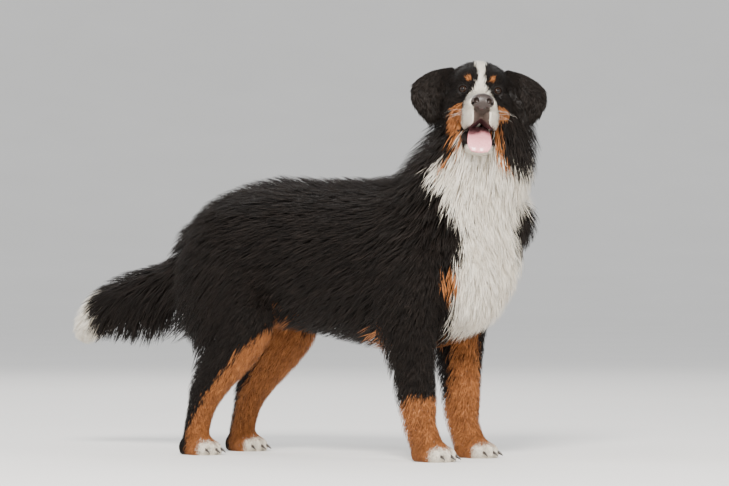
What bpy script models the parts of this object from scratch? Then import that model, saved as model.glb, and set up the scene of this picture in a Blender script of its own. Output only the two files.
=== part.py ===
"""Bernese mountain dog, life size, standing with its head turned to its right.

The dog faces +X, its left side is +Y and the floor is z = 0. Every form is first shaped in that frame, and
the whole dog is moved at the end so that the origin lies under the middle of its box.
"""

from math import cos, pi, radians, sin, sqrt

import bmesh
import bpy
import numpy as np
from mathutils import Euler, Matrix, Vector
from mathutils.bvhtree import BVHTree

# Driving sizes, in metres and degrees
GAP = 0.0003
HEAD_PLACE = Vector((0.466, -0.084, 0.863))
HEAD_YAW = -58.0
HEAD_PITCH = 7.0
HEAD_ROLL = -3.0
EYE_SPREAD = 0.0379
EYE_RADIUS = 0.0118
CORE_SHARE = 0.5
TIP_SHARE = 1.0
SHORT_COAT = 0.008

BODY_VOXEL = 0.008
LEG_VOXEL = 0.0045
HEAD_VOXEL = 0.0025
RING_SIDES = 32

# Stations along a form: x, y, z, half width, half height up and down, coat depth at the side, up and down
TRUNK = [
    (-0.354, 0.000, 0.488, 0.028, 0.028, 0.036, 0.032, 0.026, 0.030),
    (-0.337, 0.000, 0.494, 0.060, 0.058, 0.082, 0.034, 0.028, 0.034),
    (-0.285, 0.000, 0.502, 0.096, 0.100, 0.135, 0.032, 0.032, 0.034),
    (-0.210, 0.000, 0.500, 0.114, 0.132, 0.158, 0.030, 0.034, 0.036),
    (-0.130, 0.000, 0.495, 0.122, 0.146, 0.150, 0.030, 0.040, 0.040),
    (-0.040, 0.000, 0.490, 0.130, 0.150, 0.152, 0.030, 0.034, 0.044),
    (0.050, 0.000, 0.488, 0.142, 0.154, 0.162, 0.030, 0.030, 0.047),
    (0.130, 0.000, 0.485, 0.150, 0.160, 0.172, 0.030, 0.028, 0.050),
    (0.200, 0.000, 0.485, 0.154, 0.163, 0.178, 0.034, 0.028, 0.052),
    (0.280, 0.000, 0.485, 0.158, 0.160, 0.175, 0.042, 0.030, 0.052),
    (0.345, 0.000, 0.482, 0.154, 0.142, 0.160, 0.050, 0.040, 0.052),
    (0.395, -0.004, 0.478, 0.134, 0.118, 0.138, 0.052, 0.045, 0.052),
    (0.425, -0.010, 0.475, 0.092, 0.082, 0.095, 0.050, 0.045, 0.050),
]
NECK = [
    (0.200, 0.000, 0.500, 0.110, 0.110, 0.110, 0.040, 0.030, 0.040),
    (0.292, 0.006, 0.580, 0.130, 0.094, 0.125, 0.050, 0.034, 0.046),
    (0.356, 0.014, 0.660, 0.122, 0.084, 0.112, 0.058, 0.042, 0.052),
    (0.407, 0.014, 0.735, 0.101, 0.078, 0.100, 0.056, 0.044, 0.052),
    (0.430, -0.001, 0.800, 0.083, 0.068, 0.086, 0.044, 0.034, 0.040),
    (0.426, -0.022, 0.845, 0.062, 0.056, 0.060, 0.016, 0.014, 0.014),
]
TAIL = [
    (-0.290, 0.000, 0.515, 0.040, 0.035, 0.035, 0.020, 0.020, 0.030),
    (-0.360, 0.000, 0.482, 0.030, 0.026, 0.026, 0.036, 0.024, 0.150),
    (-0.450, 0.000, 0.442, 0.020, 0.018, 0.018, 0.046, 0.028, 0.150),
    (-0.550, 0.000, 0.410, 0.015, 0.014, 0.014, 0.050, 0.032, 0.140),
    (-0.640, 0.000, 0.370, 0.012, 0.011, 0.011, 0.046, 0.033, 0.118),
    (-0.695, 0.000, 0.318, 0.009, 0.008, 0.008, 0.034, 0.028, 0.075),
    (-0.716, 0.000, 0.280, 0.005, 0.005, 0.005, 0.018, 0.018, 0.030),
]
FORELEG = [
    (0.335, 0.120, 0.500, 0.045, 0.060, 0.070, 0.030, 0.020, 0.030),
    (0.322, 0.128, 0.430, 0.058, 0.066, 0.080, 0.030, 0.016, 0.030),
    (0.304, 0.128, 0.345, 0.050, 0.056, 0.062, 0.026, 0.016, 0.040),
    (0.308, 0.121, 0.280, 0.039, 0.046, 0.044, 0.020, 0.012, 0.044),
    (0.316, 0.113, 0.200, 0.030, 0.035, 0.033, 0.013, 0.008, 0.036),
    (0.322, 0.108, 0.130, 0.028, 0.031, 0.031, 0.008, 0.005, 0.022),
    (0.325, 0.106, 0.085, 0.025, 0.027, 0.027, 0.007, 0.004, 0.014),
    (0.334, 0.105, 0.045, 0.030, 0.034, 0.032, 0.006, 0.003, 0.008),
    (0.340, 0.105, 0.018, 0.034, 0.036, 0.036, 0.004, 0.003, 0.004),
]
THIGH = [
    (-0.262, 0.060, 0.570, 0.042, 0.055, 0.045, 0.024, 0.020, 0.024),
    (-0.245, 0.076, 0.510, 0.058, 0.105, 0.080, 0.028, 0.022, 0.036),
    (-0.222, 0.090, 0.440, 0.064, 0.122, 0.105, 0.028, 0.020, 0.050),
    (-0.192, 0.098, 0.370, 0.058, 0.104, 0.100, 0.024, 0.016, 0.066),
    (-0.165, 0.104, 0.315, 0.044, 0.070, 0.080, 0.018, 0.012, 0.070),
    (-0.150, 0.106, 0.280, 0.026, 0.036, 0.046, 0.012, 0.008, 0.060),
]
SHANK = [
    (-0.150, 0.106, 0.370, 0.046, 0.062, 0.060, 0.020, 0.014, 0.060),
    (-0.168, 0.107, 0.300, 0.042, 0.060, 0.068, 0.018, 0.014, 0.078),
    (-0.204, 0.107, 0.235, 0.033, 0.044, 0.054, 0.014, 0.013, 0.062),
    (-0.242, 0.106, 0.185, 0.027, 0.036, 0.040, 0.010, 0.008, 0.028),
    (-0.270, 0.105, 0.148, 0.026, 0.034, 0.036, 0.008, 0.006, 0.014),
    (-0.287, 0.105, 0.105, 0.024, 0.027, 0.030, 0.007, 0.005, 0.014),
    (-0.300, 0.105, 0.060, 0.025, 0.028, 0.028, 0.006, 0.004, 0.010),
    (-0.306, 0.105, 0.025, 0.032, 0.036, 0.030, 0.005, 0.003, 0.004),
]
# Toes of a paw: forward and sideways place from the paw's middle, length, width and height
TOES = [
    (0.030, -0.030, 0.028, 0.0155, 0.021),
    (0.044, -0.011, 0.030, 0.0165, 0.024),
    (0.044, 0.011, 0.030, 0.0165, 0.024),
    (0.030, 0.030, 0.028, 0.0155, 0.021),
]
# A claw: length, half thickness, drop of its tip and height of its root
CLAW = (0.0170, 0.0036, 0.0080, 0.0130)
# The ruff on the base of the neck, wider on the outer side of its bend: place, radii, coat depth
RUFF = [
    ((0.372, 0.030, 0.600), (0.084, 0.124, 0.100), 0.050),
    ((0.400, 0.000, 0.480), (0.044, 0.120, 0.140), 0.046),
    ((0.440, 0.122, 0.565), (0.028, 0.038, 0.045), 0.040),
]
# Soft masses of the head in its own frame, which starts midway between the eyes: place, radii, coat depth
SKULL = [
    ((-0.068, 0.000, 0.012), (0.072, 0.072, 0.062), 0.008),
    ((-0.108, 0.000, -0.008), (0.058, 0.064, 0.064), 0.016),
]
SKULL_PAIRS = [
    ((-0.026, 0.0280, 0.026), (0.030, 0.0280, 0.028), 0.004),
    ((-0.030, 0.0500, -0.018), (0.034, 0.0220, 0.020), 0.005),
    ((-0.009, 0.0379, 0.000), (0.016, 0.0160, 0.016), 0.001),
    ((-0.045, 0.0520, -0.045), (0.050, 0.0260, 0.042), 0.010),
    ((-0.060, 0.0480, -0.084), (0.045, 0.0280, 0.038), 0.012),
    ((0.051, 0.0190, -0.074), (0.039, 0.0200, 0.030), 0.002),
    ((0.018, 0.0300, -0.070), (0.040, 0.0150, 0.028), 0.003),
]
MUZZLE = [
    (-0.030, 0.0, -0.032, 0.0440, 0.0340, 0.0400, 0.004, 0.003, 0.004),
    (0.005, 0.0, -0.036, 0.0400, 0.0280, 0.0380, 0.003, 0.002, 0.003),
    (0.035, 0.0, -0.041, 0.0365, 0.0215, 0.0360, 0.002, 0.002, 0.002),
    (0.065, 0.0, -0.045, 0.0345, 0.0200, 0.0340, 0.002, 0.001, 0.002),
    (0.084, 0.0, -0.048, 0.0320, 0.0190, 0.0320, 0.001, 0.001, 0.001),
    (0.088, 0.0, -0.050, 0.0270, 0.0160, 0.0270, 0.001, 0.001, 0.001),
]
JAW = [
    (-0.075, 0.0, -0.074, 0.046, 0.026, 0.028, 0.012, 0.004, 0.014),
    (-0.040, 0.0, -0.096, 0.044, 0.020, 0.024, 0.010, 0.003, 0.014),
    (-0.005, 0.0, -0.116, 0.038, 0.016, 0.018, 0.006, 0.002, 0.012),
    (0.025, 0.0, -0.134, 0.031, 0.013, 0.015, 0.004, 0.001, 0.008),
    (0.044, 0.0, -0.145, 0.024, 0.011, 0.012, 0.003, 0.001, 0.005),
    (0.052, 0.0, -0.149, 0.015, 0.007, 0.008, 0.002, 0.001, 0.003),
]
MOUTH = [
    (-0.014, 0.0, -0.088, 0.034, 0.004, 0.005, 0.0, 0.0, 0.0),
    (0.010, 0.0, -0.098, 0.032, 0.013, 0.012, 0.0, 0.0, 0.0),
    (0.040, 0.0, -0.107, 0.031, 0.022, 0.019, 0.0, 0.0, 0.0),
    (0.075, 0.0, -0.111, 0.032, 0.028, 0.026, 0.0, 0.0, 0.0),
    (0.120, 0.0, -0.116, 0.036, 0.034, 0.036, 0.0, 0.0, 0.0),
]
TONGUE = [
    (-0.004, 0.0, -0.0900, 0.020, 0.0050, 0.0050, 0.0, 0.0, 0.0),
    (0.020, 0.0, -0.1040, 0.025, 0.0055, 0.0055, 0.0, 0.0, 0.0),
    (0.042, 0.0, -0.1190, 0.027, 0.0050, 0.0050, 0.0, 0.0, 0.0),
    (0.058, 0.0, -0.1310, 0.028, 0.0045, 0.0045, 0.0, 0.0, 0.0),
    (0.067, 0.0, -0.1450, 0.026, 0.0042, 0.0042, 0.0, 0.0, 0.0),
    (0.070, 0.0, -0.1560, 0.019, 0.0038, 0.0038, 0.0, 0.0, 0.0),
]
EAR = [
    (-0.064, 0.058, 0.050, 0.0140, 0.0070, 0.0070, 0.003, 0.002, 0.002),
    (-0.058, 0.084, 0.037, 0.0200, 0.0062, 0.0062, 0.004, 0.003, 0.003),
    (-0.051, 0.105, 0.017, 0.0310, 0.0054, 0.0054, 0.005, 0.003, 0.003),
    (-0.046, 0.118, -0.007, 0.0390, 0.0050, 0.0050, 0.006, 0.003, 0.003),
    (-0.043, 0.118, -0.031, 0.0330, 0.0046, 0.0046, 0.007, 0.003, 0.003),
    (-0.042, 0.111, -0.054, 0.0200, 0.0040, 0.0040, 0.007, 0.003, 0.003),
    (-0.042, 0.105, -0.074, 0.0060, 0.0032, 0.0032, 0.006, 0.002, 0.002),
]

# The nose, its nostrils and the slits at their sides
NOSE = [
    ((0.0960, 0.000, -0.0430), (0.0160, 0.0255, 0.0180)),
    ((0.1000, 0.013, -0.0460), (0.0125, 0.0140, 0.0130)),
    ((0.0980, 0.000, -0.0560), (0.0110, 0.0120, 0.0100)),
]
NOSTRILS = [
    ((0.1100, 0.0122, -0.0440), (0.0080, 0.0056, 0.0066), (0, 0, 18)),
    ((0.1060, 0.0195, -0.0500), (0.0090, 0.0060, 0.0022), (0, 0, 30)),
]
NOSE_BACK = 0.0870
# Eye opening and socket
EYE_DEPTH = 0.0050
LID_THICKNESS = 0.0022
EYE_OPENING = (0.0110, 0.0092, 0.0072)
EYE_TURN = 18
# The hollow of the ear's inner side
EAR_CUP = ((-0.064, 0.088, 0.016), (0.013, 0.020, 0.026))

# How the coat lies on the left half: place, direction, length and width of a lock there
LIE = [
    ((0.33, 0.04, 0.80), (-0.60, 0.10, -0.79), 0.139, 0.035),
    ((0.37, 0.11, 0.74), (-0.35, 0.15, -0.92), 0.146, 0.035),
    ((0.47, 0.05, 0.74), (-0.05, 0.05, -1.00), 0.146, 0.030),
    ((0.30, 0.05, 0.70), (-0.80, 0.10, -0.59), 0.159, 0.040),
    ((0.38, 0.16, 0.62), (-0.35, 0.15, -0.92), 0.159, 0.037),
    ((0.48, 0.00, 0.62), (0.05, 0.00, -1.00), 0.165, 0.030),
    ((0.47, 0.10, 0.54), (-0.05, 0.10, -0.99), 0.165, 0.030),
    ((0.48, 0.00, 0.44), (-0.10, 0.00, -0.99), 0.165, 0.030),
    ((0.44, 0.12, 0.42), (-0.25, 0.08, -0.96), 0.159, 0.032),
    ((0.42, 0.03, 0.33), (-0.35, 0.00, -0.94), 0.132, 0.028),
    ((0.28, 0.19, 0.52), (-0.65, 0.06, -0.76), 0.171, 0.040),
    ((0.28, 0.18, 0.38), (-0.50, 0.00, -0.87), 0.146, 0.035),
    ((0.18, 0.00, 0.68), (-1.00, 0.00, -0.04), 0.171, 0.045),
    ((0.00, 0.00, 0.68), (-1.00, 0.00, -0.04), 0.171, 0.048),
    ((-0.16, 0.00, 0.68), (-0.99, 0.00, -0.12), 0.171, 0.045),
    ((-0.28, 0.00, 0.63), (-0.85, 0.00, -0.52), 0.159, 0.042),
    ((0.14, 0.17, 0.56), (-0.92, 0.02, -0.38), 0.185, 0.048),
    ((-0.02, 0.16, 0.56), (-0.93, 0.00, -0.36), 0.185, 0.048),
    ((-0.16, 0.15, 0.56), (-0.88, 0.00, -0.46), 0.171, 0.045),
    ((0.14, 0.18, 0.42), (-0.84, 0.00, -0.54), 0.171, 0.044),
    ((0.00, 0.16, 0.42), (-0.86, 0.00, -0.51), 0.171, 0.044),
    ((-0.12, 0.14, 0.40), (-0.82, 0.00, -0.57), 0.159, 0.042),
    ((0.15, 0.10, 0.29), (-0.70, 0.00, -0.71), 0.139, 0.033),
    ((0.00, 0.09, 0.30), (-0.72, 0.00, -0.69), 0.132, 0.033),
    ((0.08, 0.00, 0.27), (-0.80, 0.00, -0.60), 0.125, 0.032),
    ((-0.27, 0.13, 0.54), (-0.55, 0.05, -0.83), 0.159, 0.040),
    ((-0.22, 0.16, 0.42), (-0.50, 0.03, -0.87), 0.159, 0.039),
    ((-0.35, 0.06, 0.46), (-0.45, 0.00, -0.89), 0.159, 0.037),
    ((-0.32, 0.12, 0.36), (-0.45, 0.00, -0.89), 0.146, 0.033),
    ((-0.29, 0.12, 0.27), (-0.45, 0.00, -0.89), 0.119, 0.027),
    ((-0.12, 0.14, 0.34), (-0.55, 0.00, -0.84), 0.119, 0.032),
    ((-0.30, 0.11, 0.20), (-0.40, 0.00, -0.92), 0.105, 0.024),
    ((-0.31, 0.11, 0.10), (-0.10, 0.00, -0.99), 0.093, 0.021),
    ((0.25, 0.13, 0.30), (-0.40, 0.00, -0.92), 0.105, 0.023),
    ((0.28, 0.12, 0.20), (-0.30, 0.00, -0.95), 0.086, 0.019),
    ((0.29, 0.11, 0.12), (-0.20, 0.00, -0.98), 0.093, 0.021),
    ((-0.42, 0.03, 0.46), (-0.90, 0.05, -0.42), 0.159, 0.033),
    ((-0.56, 0.03, 0.43), (-0.90, 0.05, -0.42), 0.159, 0.032),
    ((-0.46, 0.06, 0.34), (-0.60, 0.05, -0.80), 0.198, 0.032),
    ((-0.56, 0.05, 0.32), (-0.60, 0.05, -0.80), 0.198, 0.030),
    ((-0.66, 0.03, 0.34), (-0.70, 0.05, -0.70), 0.159, 0.027),
    ((-0.71, 0.02, 0.28), (-0.30, 0.02, -0.95), 0.119, 0.023),
]
LOCK_SEED = 7
LOCK_DRAWS = 12
WELDS = (1e-6, 1e-5, 5e-5)
LOCK_SUNK = 0.004
LOCK_THICKNESS = 0.0080
LOCK_LEAST_RISE = 0.008
LOCK_APART = (0.82, 1.45)
LOCK_TRIES = 6000
LOCK_RINGS = ((0.0, 0.62), (0.34, 1.0), (0.74, 0.62), (1.0, 0.0))
LOCK_WAVE = 0.12
LOCK_BEND = 0.22
LOCK_LEAST_STEP = 0.2
LOCK_MOST_TURN = radians(50)

# Colours and finish of each kind of surface
FINISHES = {
    "black_coat": ((0.020, 0.016, 0.013), 0.62),
    "rust_coat": ((0.340, 0.130, 0.035), 0.65),
    "white_coat": ((0.800, 0.760, 0.680), 0.65),
    "nose_leather": ((0.070, 0.045, 0.040), 0.42),
    "tongue_pink": ((0.750, 0.300, 0.310), 0.38),
    "eye_brown": ((0.045, 0.018, 0.008), 0.08),
}


def clear_scene():
    """Removes whatever the file starts with."""
    for obj in list(bpy.data.objects):
        bpy.data.objects.remove(obj)


def finish(name):
    """The material of that name, made once."""
    made = bpy.data.materials.get(name)
    if made:
        return made
    colour, roughness = FINISHES[name]
    made = bpy.data.materials.new(name)
    made.use_nodes = True
    shader = made.node_tree.nodes["Principled BSDF"]
    shader.inputs["Base Color"].default_value = (*colour, 1.0)
    shader.inputs["Roughness"].default_value = roughness
    shader.inputs["Metallic"].default_value = 0.0
    return made


def new_object(name, mesh, collection):
    obj = bpy.data.objects.new(name, mesh)
    collection.objects.link(obj)
    return obj


def object_of(bm, name, collection):
    mesh = bpy.data.meshes.new(name)
    bmesh.ops.triangulate(bm, faces=list(bm.faces), quad_method="FIXED")
    bm.to_mesh(mesh)
    bm.free()
    return new_object(name, mesh, collection)


def smooth_curve(rows, steps):
    """Rows read from a Catmull-Rom curve through the given ones, with so many steps between two."""
    rows = np.asarray(rows, float)
    before = np.vstack([2 * rows[0] - rows[1], rows, 2 * rows[-1] - rows[-2]])
    out = []
    for i in range(len(rows) - 1):
        a, b, c, d = before[i : i + 4]
        for t in np.arange(steps) / steps:
            out.append(
                0.5
                * (
                    2 * b
                    + (c - a) * t
                    + (2 * a - 5 * b + 4 * c - d) * t * t
                    + (3 * b - 3 * c + d - a) * t**3
                )
            )
    out.append(rows[-1])
    return np.array(out)


def depth(coat, share):
    """How far a form goes into the coat; the core between skin and tips takes short coat in whole."""
    if share in (0.0, TIP_SHARE):
        return share * coat
    return min(coat, max(SHORT_COAT, share * coat))


def rounded_ends(rows, centres, tangents, share, grow):
    """Adds two smaller rings past each end of a tube, as deep as the coat there."""
    for end, sign in ((0, -1), (-1, 1)):
        row, tangent = rows[end], tangents[end] / np.linalg.norm(tangents[end])
        over = depth(row[6], share) + 0.25 * row[3] + grow
        for along, scale in ((0.6, 0.78), (1.0, 0.42)):
            extra = row.copy()
            extra[3:] = row[3:] * scale
            centre = centres[end if sign < 0 else -1] if along == 0.6 else base
            if along == 0.6:
                base = centre
            place = base + tangent * sign * over * along
            at = 0 if sign < 0 else len(rows)
            rows = np.insert(rows, at, extra, axis=0)
            centres = np.insert(centres, at, place, axis=0)
            tangents = np.insert(tangents, at, tangent, axis=0)
    return rows, centres, tangents


def loft(bm, stations, share, up=(0, 0, 1), steps=4, square=2.0, grow=0.0, place=None, sides=RING_SIDES):
    """Adds a closed tube of oval rings: share is how much of the coat's depth it takes in."""
    rows = smooth_curve(stations, steps)
    centres = rows[:, :3]
    tangents = np.gradient(centres, axis=0)
    rings = []
    rows, centres, tangents = rounded_ends(rows, centres, tangents, share, grow)
    for centre, tangent, row in zip(centres, tangents, rows):
        tangent = Vector(tangent).normalized()
        side = Vector(up).cross(tangent).normalized()
        top = tangent.cross(side)
        width = row[3] + depth(row[6], share) + grow
        rise = row[4] + depth(row[7], share) + grow
        fall = row[5] + depth(row[8], share) + grow
        ring = []
        for k in range(sides):
            c, s = cos(2 * pi * k / sides), sin(2 * pi * k / sides)
            c = np.sign(c) * abs(c) ** (2 / square)
            s = np.sign(s) * abs(s) ** (2 / square)
            point = Vector(centre) + side * (c * width) + top * (s * (rise if s > 0 else fall))
            ring.append(bm.verts.new(place @ point if place else point))
        rings.append(ring)
    for a, b in zip(rings, rings[1:]):
        for k in range(sides):
            j = (k + 1) % sides
            bm.faces.new((a[k], a[j], b[j], b[k]))
    bm.faces.new(rings[0][::-1])
    bm.faces.new(rings[-1])


def ball(bm, centre, radii, turn=None, place=None, fine=20):
    """Adds an egg-shaped mass."""
    matrix = Matrix.Translation(centre)
    if turn:
        matrix = matrix @ Euler([radians(a) for a in turn]).to_matrix().to_4x4()
    matrix = matrix @ Matrix.Diagonal((*radii, 1.0))
    if place:
        matrix = place @ matrix
    bmesh.ops.create_uvsphere(bm, u_segments=fine, v_segments=fine // 2 + 1, radius=1.0, matrix=matrix)


def mirrored(stations, side):
    """The same stations on the left, side 1, or on the right, side -1."""
    return [(row[0], side * row[1], *row[2:]) for row in stations]


def baked(obj, *modifiers):
    """Adds modifiers, given as a kind and its settings, and applies them all."""
    for kind, settings in modifiers:
        added = obj.modifiers.new(kind.lower(), kind)
        for key, value in settings.items():
            setattr(added, key, value)
    graph = bpy.context.evaluated_depsgraph_get()
    graph.update()
    mesh = bpy.data.meshes.new_from_object(obj.evaluated_get(graph))
    obj.modifiers.clear()
    obj.data = mesh
    return obj


def triangles(obj):
    return sum(len(p.vertices) - 2 for p in obj.data.polygons)


def skin_over(bm, name, collection, voxel, smooth, faces):
    """One closed surface over overlapping masses, smoothed and thinned to about so many triangles."""
    bmesh.ops.recalc_face_normals(bm, faces=bm.faces)
    obj = object_of(bm, name, collection)
    baked(
        obj,
        ("REMESH", {"mode": "VOXEL", "voxel_size": voxel}),
        ("SMOOTH", {"factor": 0.5, "iterations": smooth}),
    )
    return baked(obj, ("DECIMATE", {"ratio": min(1.0, faces / triangles(obj))}), ("TRIANGULATE", {}))


def joined(obj, others, operation, knotted=False):
    """Unites obj with other objects, or cuts it by them, and removes them."""
    group = bpy.data.collections.new("operands")
    for other in others:
        group.objects.link(other)
    cut = obj.modifiers.new("join", "BOOLEAN")
    cut.operand_type = "COLLECTION"
    cut.collection = group
    cut.operation = operation
    cut.solver = "EXACT"
    cut.use_self = knotted
    cut.use_hole_tolerant = knotted
    baked(obj)
    for other in others:
        bpy.data.objects.remove(other)
    bpy.data.collections.remove(group)
    return obj


def mended(bm):
    """Welds slivers that a union leaves and closes the small holes beside them."""
    bmesh.ops.triangulate(bm, faces=bm.faces)
    for weld in WELDS:
        if all(len(e.link_faces) == 2 for e in bm.edges):
            break
        bmesh.ops.remove_doubles(bm, verts=bm.verts, dist=weld)
        bmesh.ops.dissolve_degenerate(bm, edges=bm.edges, dist=weld / 4)
        crowded = [e for e in bm.edges if len(e.link_faces) > 2]
        small = {f for e in crowded for f in e.link_faces if f.calc_area() < weld * 1e-3}
        bmesh.ops.delete(bm, geom=list(small), context="FACES_ONLY")
        rim = [e for e in bm.edges if len(e.link_faces) == 1]
        if rim:
            bmesh.ops.holes_fill(bm, edges=rim, sides=0)
        bmesh.ops.triangulate(bm, faces=bm.faces)


def largest_surface(obj):
    """Keeps only the largest closed surface of an object."""
    bm = bmesh.new()
    bm.from_mesh(obj.data)
    mended(bm)
    left, shells = set(bm.faces), []
    while left:
        start = left.pop()
        shell, front = [start], [start]
        while front:
            for edge in front.pop().edges:
                for face in edge.link_faces if len(edge.link_faces) == 2 else ():
                    if face in left:
                        left.discard(face)
                        shell.append(face)
                        front.append(face)
        shells.append(shell)
    shells.sort(key=lambda shell: -sum(f.calc_area() for f in shell))
    drop = [face for shell in shells[1:] for face in shell]
    bmesh.ops.delete(bm, geom=drop, context="FACES")
    bmesh.ops.delete(bm, geom=[e for e in bm.edges if not e.link_faces], context="EDGES")
    bmesh.ops.delete(bm, geom=[v for v in bm.verts if not v.link_faces], context="VERTS")
    bm.to_mesh(obj.data)
    bm.free()
    return obj


def head_matrix():
    turn = Euler((radians(HEAD_ROLL), radians(-HEAD_PITCH), radians(HEAD_YAW))).to_matrix().to_4x4()
    return Matrix.Translation(HEAD_PLACE) @ turn


def paw(bm, stations, side, share):
    """The paw at the end of a leg: its pad and four toes."""
    x, y = stations[-1][0] + 0.006, side * stations[-1][1]
    ball(bm, (x, y, 0.018), (0.048, 0.037 + share * 0.004, 0.034 + share * 0.003))
    for ahead, aside, length, width, height in TOES:
        spread = 6.0 * aside / 0.03
        ball(
            bm,
            (x + ahead - 0.012, y + aside, 0.012),
            (length, width + share * 0.002, height + share * 0.002),
            turn=(0, 0, spread),
        )


def claws(stations, side, collection):
    """The four claws of a paw, each one a short tapered horn that curves down."""
    x, y = stations[-1][0] + 0.006, side * stations[-1][1]
    length, thick, drop, height = CLAW
    horns = []
    for ahead, aside, reach, _, _ in TOES:
        way = Vector((1.0, 6.0 * aside, 0.0)).normalized()
        start = Vector((x + ahead - 0.012 + reach * 0.75, y + aside, height))
        rows = []
        for t, share in ((0.0, 1.0), (0.55, 0.75), (1.0, 0.2)):
            at = start + way * length * t - Vector((0, 0, drop * t * t))
            rows.append((*at, share * thick, share * thick, share * thick, 0.0, 0.0, 0.0))
        bm = bmesh.new()
        loft(bm, rows, 0.0, steps=1, sides=6)
        horns.append(object_of(bm, "claw", collection))
    return horns


def foreleg_forms(bm, side, share):
    loft(bm, mirrored(FORELEG, side), share, up=(1, 0, 0))
    paw(bm, FORELEG, side, share)


def hindleg_forms(bm, side, share):
    loft(bm, mirrored(THIGH, side), share, up=(1, 0, 0))
    loft(bm, mirrored(SHANK, side), share, up=(1, 0, 0))
    paw(bm, SHANK, side, share)


def trunk_forms(bm, share):
    loft(bm, TRUNK, share, square=2.3)
    loft(bm, NECK, share, up=(-0.3, 0, 1.0))
    for centre, radii, coat in RUFF:
        ball(bm, centre, [r + depth(coat, share) for r in radii], fine=28)


def body_forms(share):
    bm = bmesh.new()
    trunk_forms(bm, share)
    loft(bm, TAIL, share)
    for side in (1, -1):
        foreleg_forms(bm, side, share)
        hindleg_forms(bm, side, share)
    return bm


def head_forms(share):
    """The head with its upper lips and the neck that it grows from, without the lower jaw's front."""
    place = head_matrix()
    bm = bmesh.new()
    for centre, radii, coat in SKULL:
        ball(bm, centre, [r + depth(coat, share) for r in radii], place=place)
    for centre, radii, coat in SKULL_PAIRS:
        for side in (1, -1):
            x, y, z = centre
            ball(bm, (x, side * y, z), [r + depth(coat, share) for r in radii], place=place)
    loft(bm, MUZZLE, share, place=place)
    loft(bm, JAW[:3], share, place=place)
    loft(bm, NECK, min(share, CORE_SHARE), up=(-0.3, 0, 1.0))
    return bm


def jaw_form(grow=0.0, share=1.0):
    """The lower jaw, which sits in a socket of the head."""
    bm = bmesh.new()
    loft(bm, JAW[2:], share, steps=1, grow=grow, place=head_matrix(), sides=14)
    return bm


def tongue_form(grow=0.0):
    bm = bmesh.new()
    loft(bm, TONGUE, 0.0, up=(1, 0, 0.6), steps=1, square=2.6, grow=grow, place=head_matrix(), sides=10)
    return bm


def ear_form(side, grow=0.0, share=1.0):
    """One ear: a flap that stands out from the head and hangs."""
    bm = bmesh.new()
    loft(bm, mirrored(EAR, side), share, up=(1, 0, 0), steps=2, grow=grow, place=head_matrix(), sides=12)
    return bm


def eye_centre(side):
    return Vector((-EYE_DEPTH, side * EYE_SPREAD, 0.0))


def eye_form(side, grow=0.0, fine=14):
    bm = bmesh.new()
    ball(bm, eye_centre(side), [EYE_RADIUS + grow] * 3, place=head_matrix(), fine=fine)
    return bm


def nose_form():
    """The nose leather, with its wings, before the nostrils are cut."""
    bm = bmesh.new()
    for centre, radii in NOSE:
        for side in (1, -1):
            ball(bm, (centre[0], side * centre[1], centre[2]), radii, place=head_matrix())
    return bm


def region(name, collection, centre, size, place=None):
    """A box cutter."""
    bm = bmesh.new()
    matrix = Matrix.Translation(centre) @ Matrix.Diagonal((*size, 1.0))
    bmesh.ops.create_cube(bm, size=1.0, matrix=place @ matrix if place else matrix)
    return object_of(bm, name, collection)


def column(name, collection, centre, radii, straight, dome, grow=0.0):
    """A cutter round a leg: an oval column up to a height, with a dome on it."""
    bm = bmesh.new()
    rows = []
    for z, k in [(-0.2, 1.0), (straight, 1.0)] + [
        (straight + dome * sin(t), cos(t)) for t in (0.35, 0.7, 1.05, 1.3)
    ]:
        rows.append((z + (grow if z > 0 else 0), k))
    rings = []
    for z, k in rows:
        ring = []
        for i in range(20):
            a = 2 * pi * i / 20
            x = centre[0] + cos(a) * (radii[0] * k + grow)
            y = centre[1] + sin(a) * (radii[1] * k + grow)
            ring.append(bm.verts.new((x, y, z)))
        rings.append(ring)
    for a, b in zip(rings, rings[1:]):
        for i in range(20):
            j = (i + 1) % 20
            bm.faces.new((a[i], a[j], b[j], b[i]))
    bm.faces.new(rings[0][::-1])
    bm.faces.new(rings[-1])
    return object_of(bm, name, collection)


FORE_COLUMN = dict(centre=(0.300, 0.132), radii=(0.150, 0.112), straight=0.330, dome=0.150)
HIND_COLUMN = dict(centre=(-0.235, 0.130), radii=(0.190, 0.115), straight=0.350, dome=0.170)
NECK_CUT = (Vector((0.352, 0.000, 0.668)), Vector((0.42, 0.0, 0.90)))


TAIL_CUT = (Vector((-0.400, 0, 0.44)), Vector((-1, 0, -0.25)))
BODY_FACES = 1800
LEG_FACES = 1350
HEAD_FACES = 2100
NOSE_FACES = 220
NODE_FINISH = {
    "tongue": "tongue_pink",
    "nose": "nose_leather",
    "eye_left": "eye_brown",
    "eye_right": "eye_brown",
}


def leg_column(kind, side, cutters, grow=0.0):
    x, y = kind["centre"]
    return column("leg_cut", cutters, (x, side * y), kind["radii"], kind["straight"], kind["dome"], grow)


def half_space(cutters, point, normal, gap, size=1.6):
    """A big box whose face lies at a point, square to the normal, and which fills the side it points to."""
    normal = Vector(normal).normalized()
    turn = normal.to_track_quat("Z", "Y").to_matrix().to_4x4()
    bm = bmesh.new()
    matrix = Matrix.Translation(Vector(point) + normal * (gap + size / 2)) @ turn
    bmesh.ops.create_cube(bm, size=size, matrix=matrix)
    return object_of(bm, "half_space", cutters)


def head_cut():
    """Where the head parts from the neck: a point and the direction toward the head."""
    place = head_matrix()
    point = place @ Vector((-0.118, 0.0, -0.055))
    ahead = (place.to_3x3() @ Vector((0.62, 0.0, 0.62))).normalized()
    return point, (ahead + Vector((0, 0, 0.5))).normalized()


def ground(cutters):
    return region("ground", cutters, (0, 0, -0.5), (4, 4, 1.0))


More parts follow.
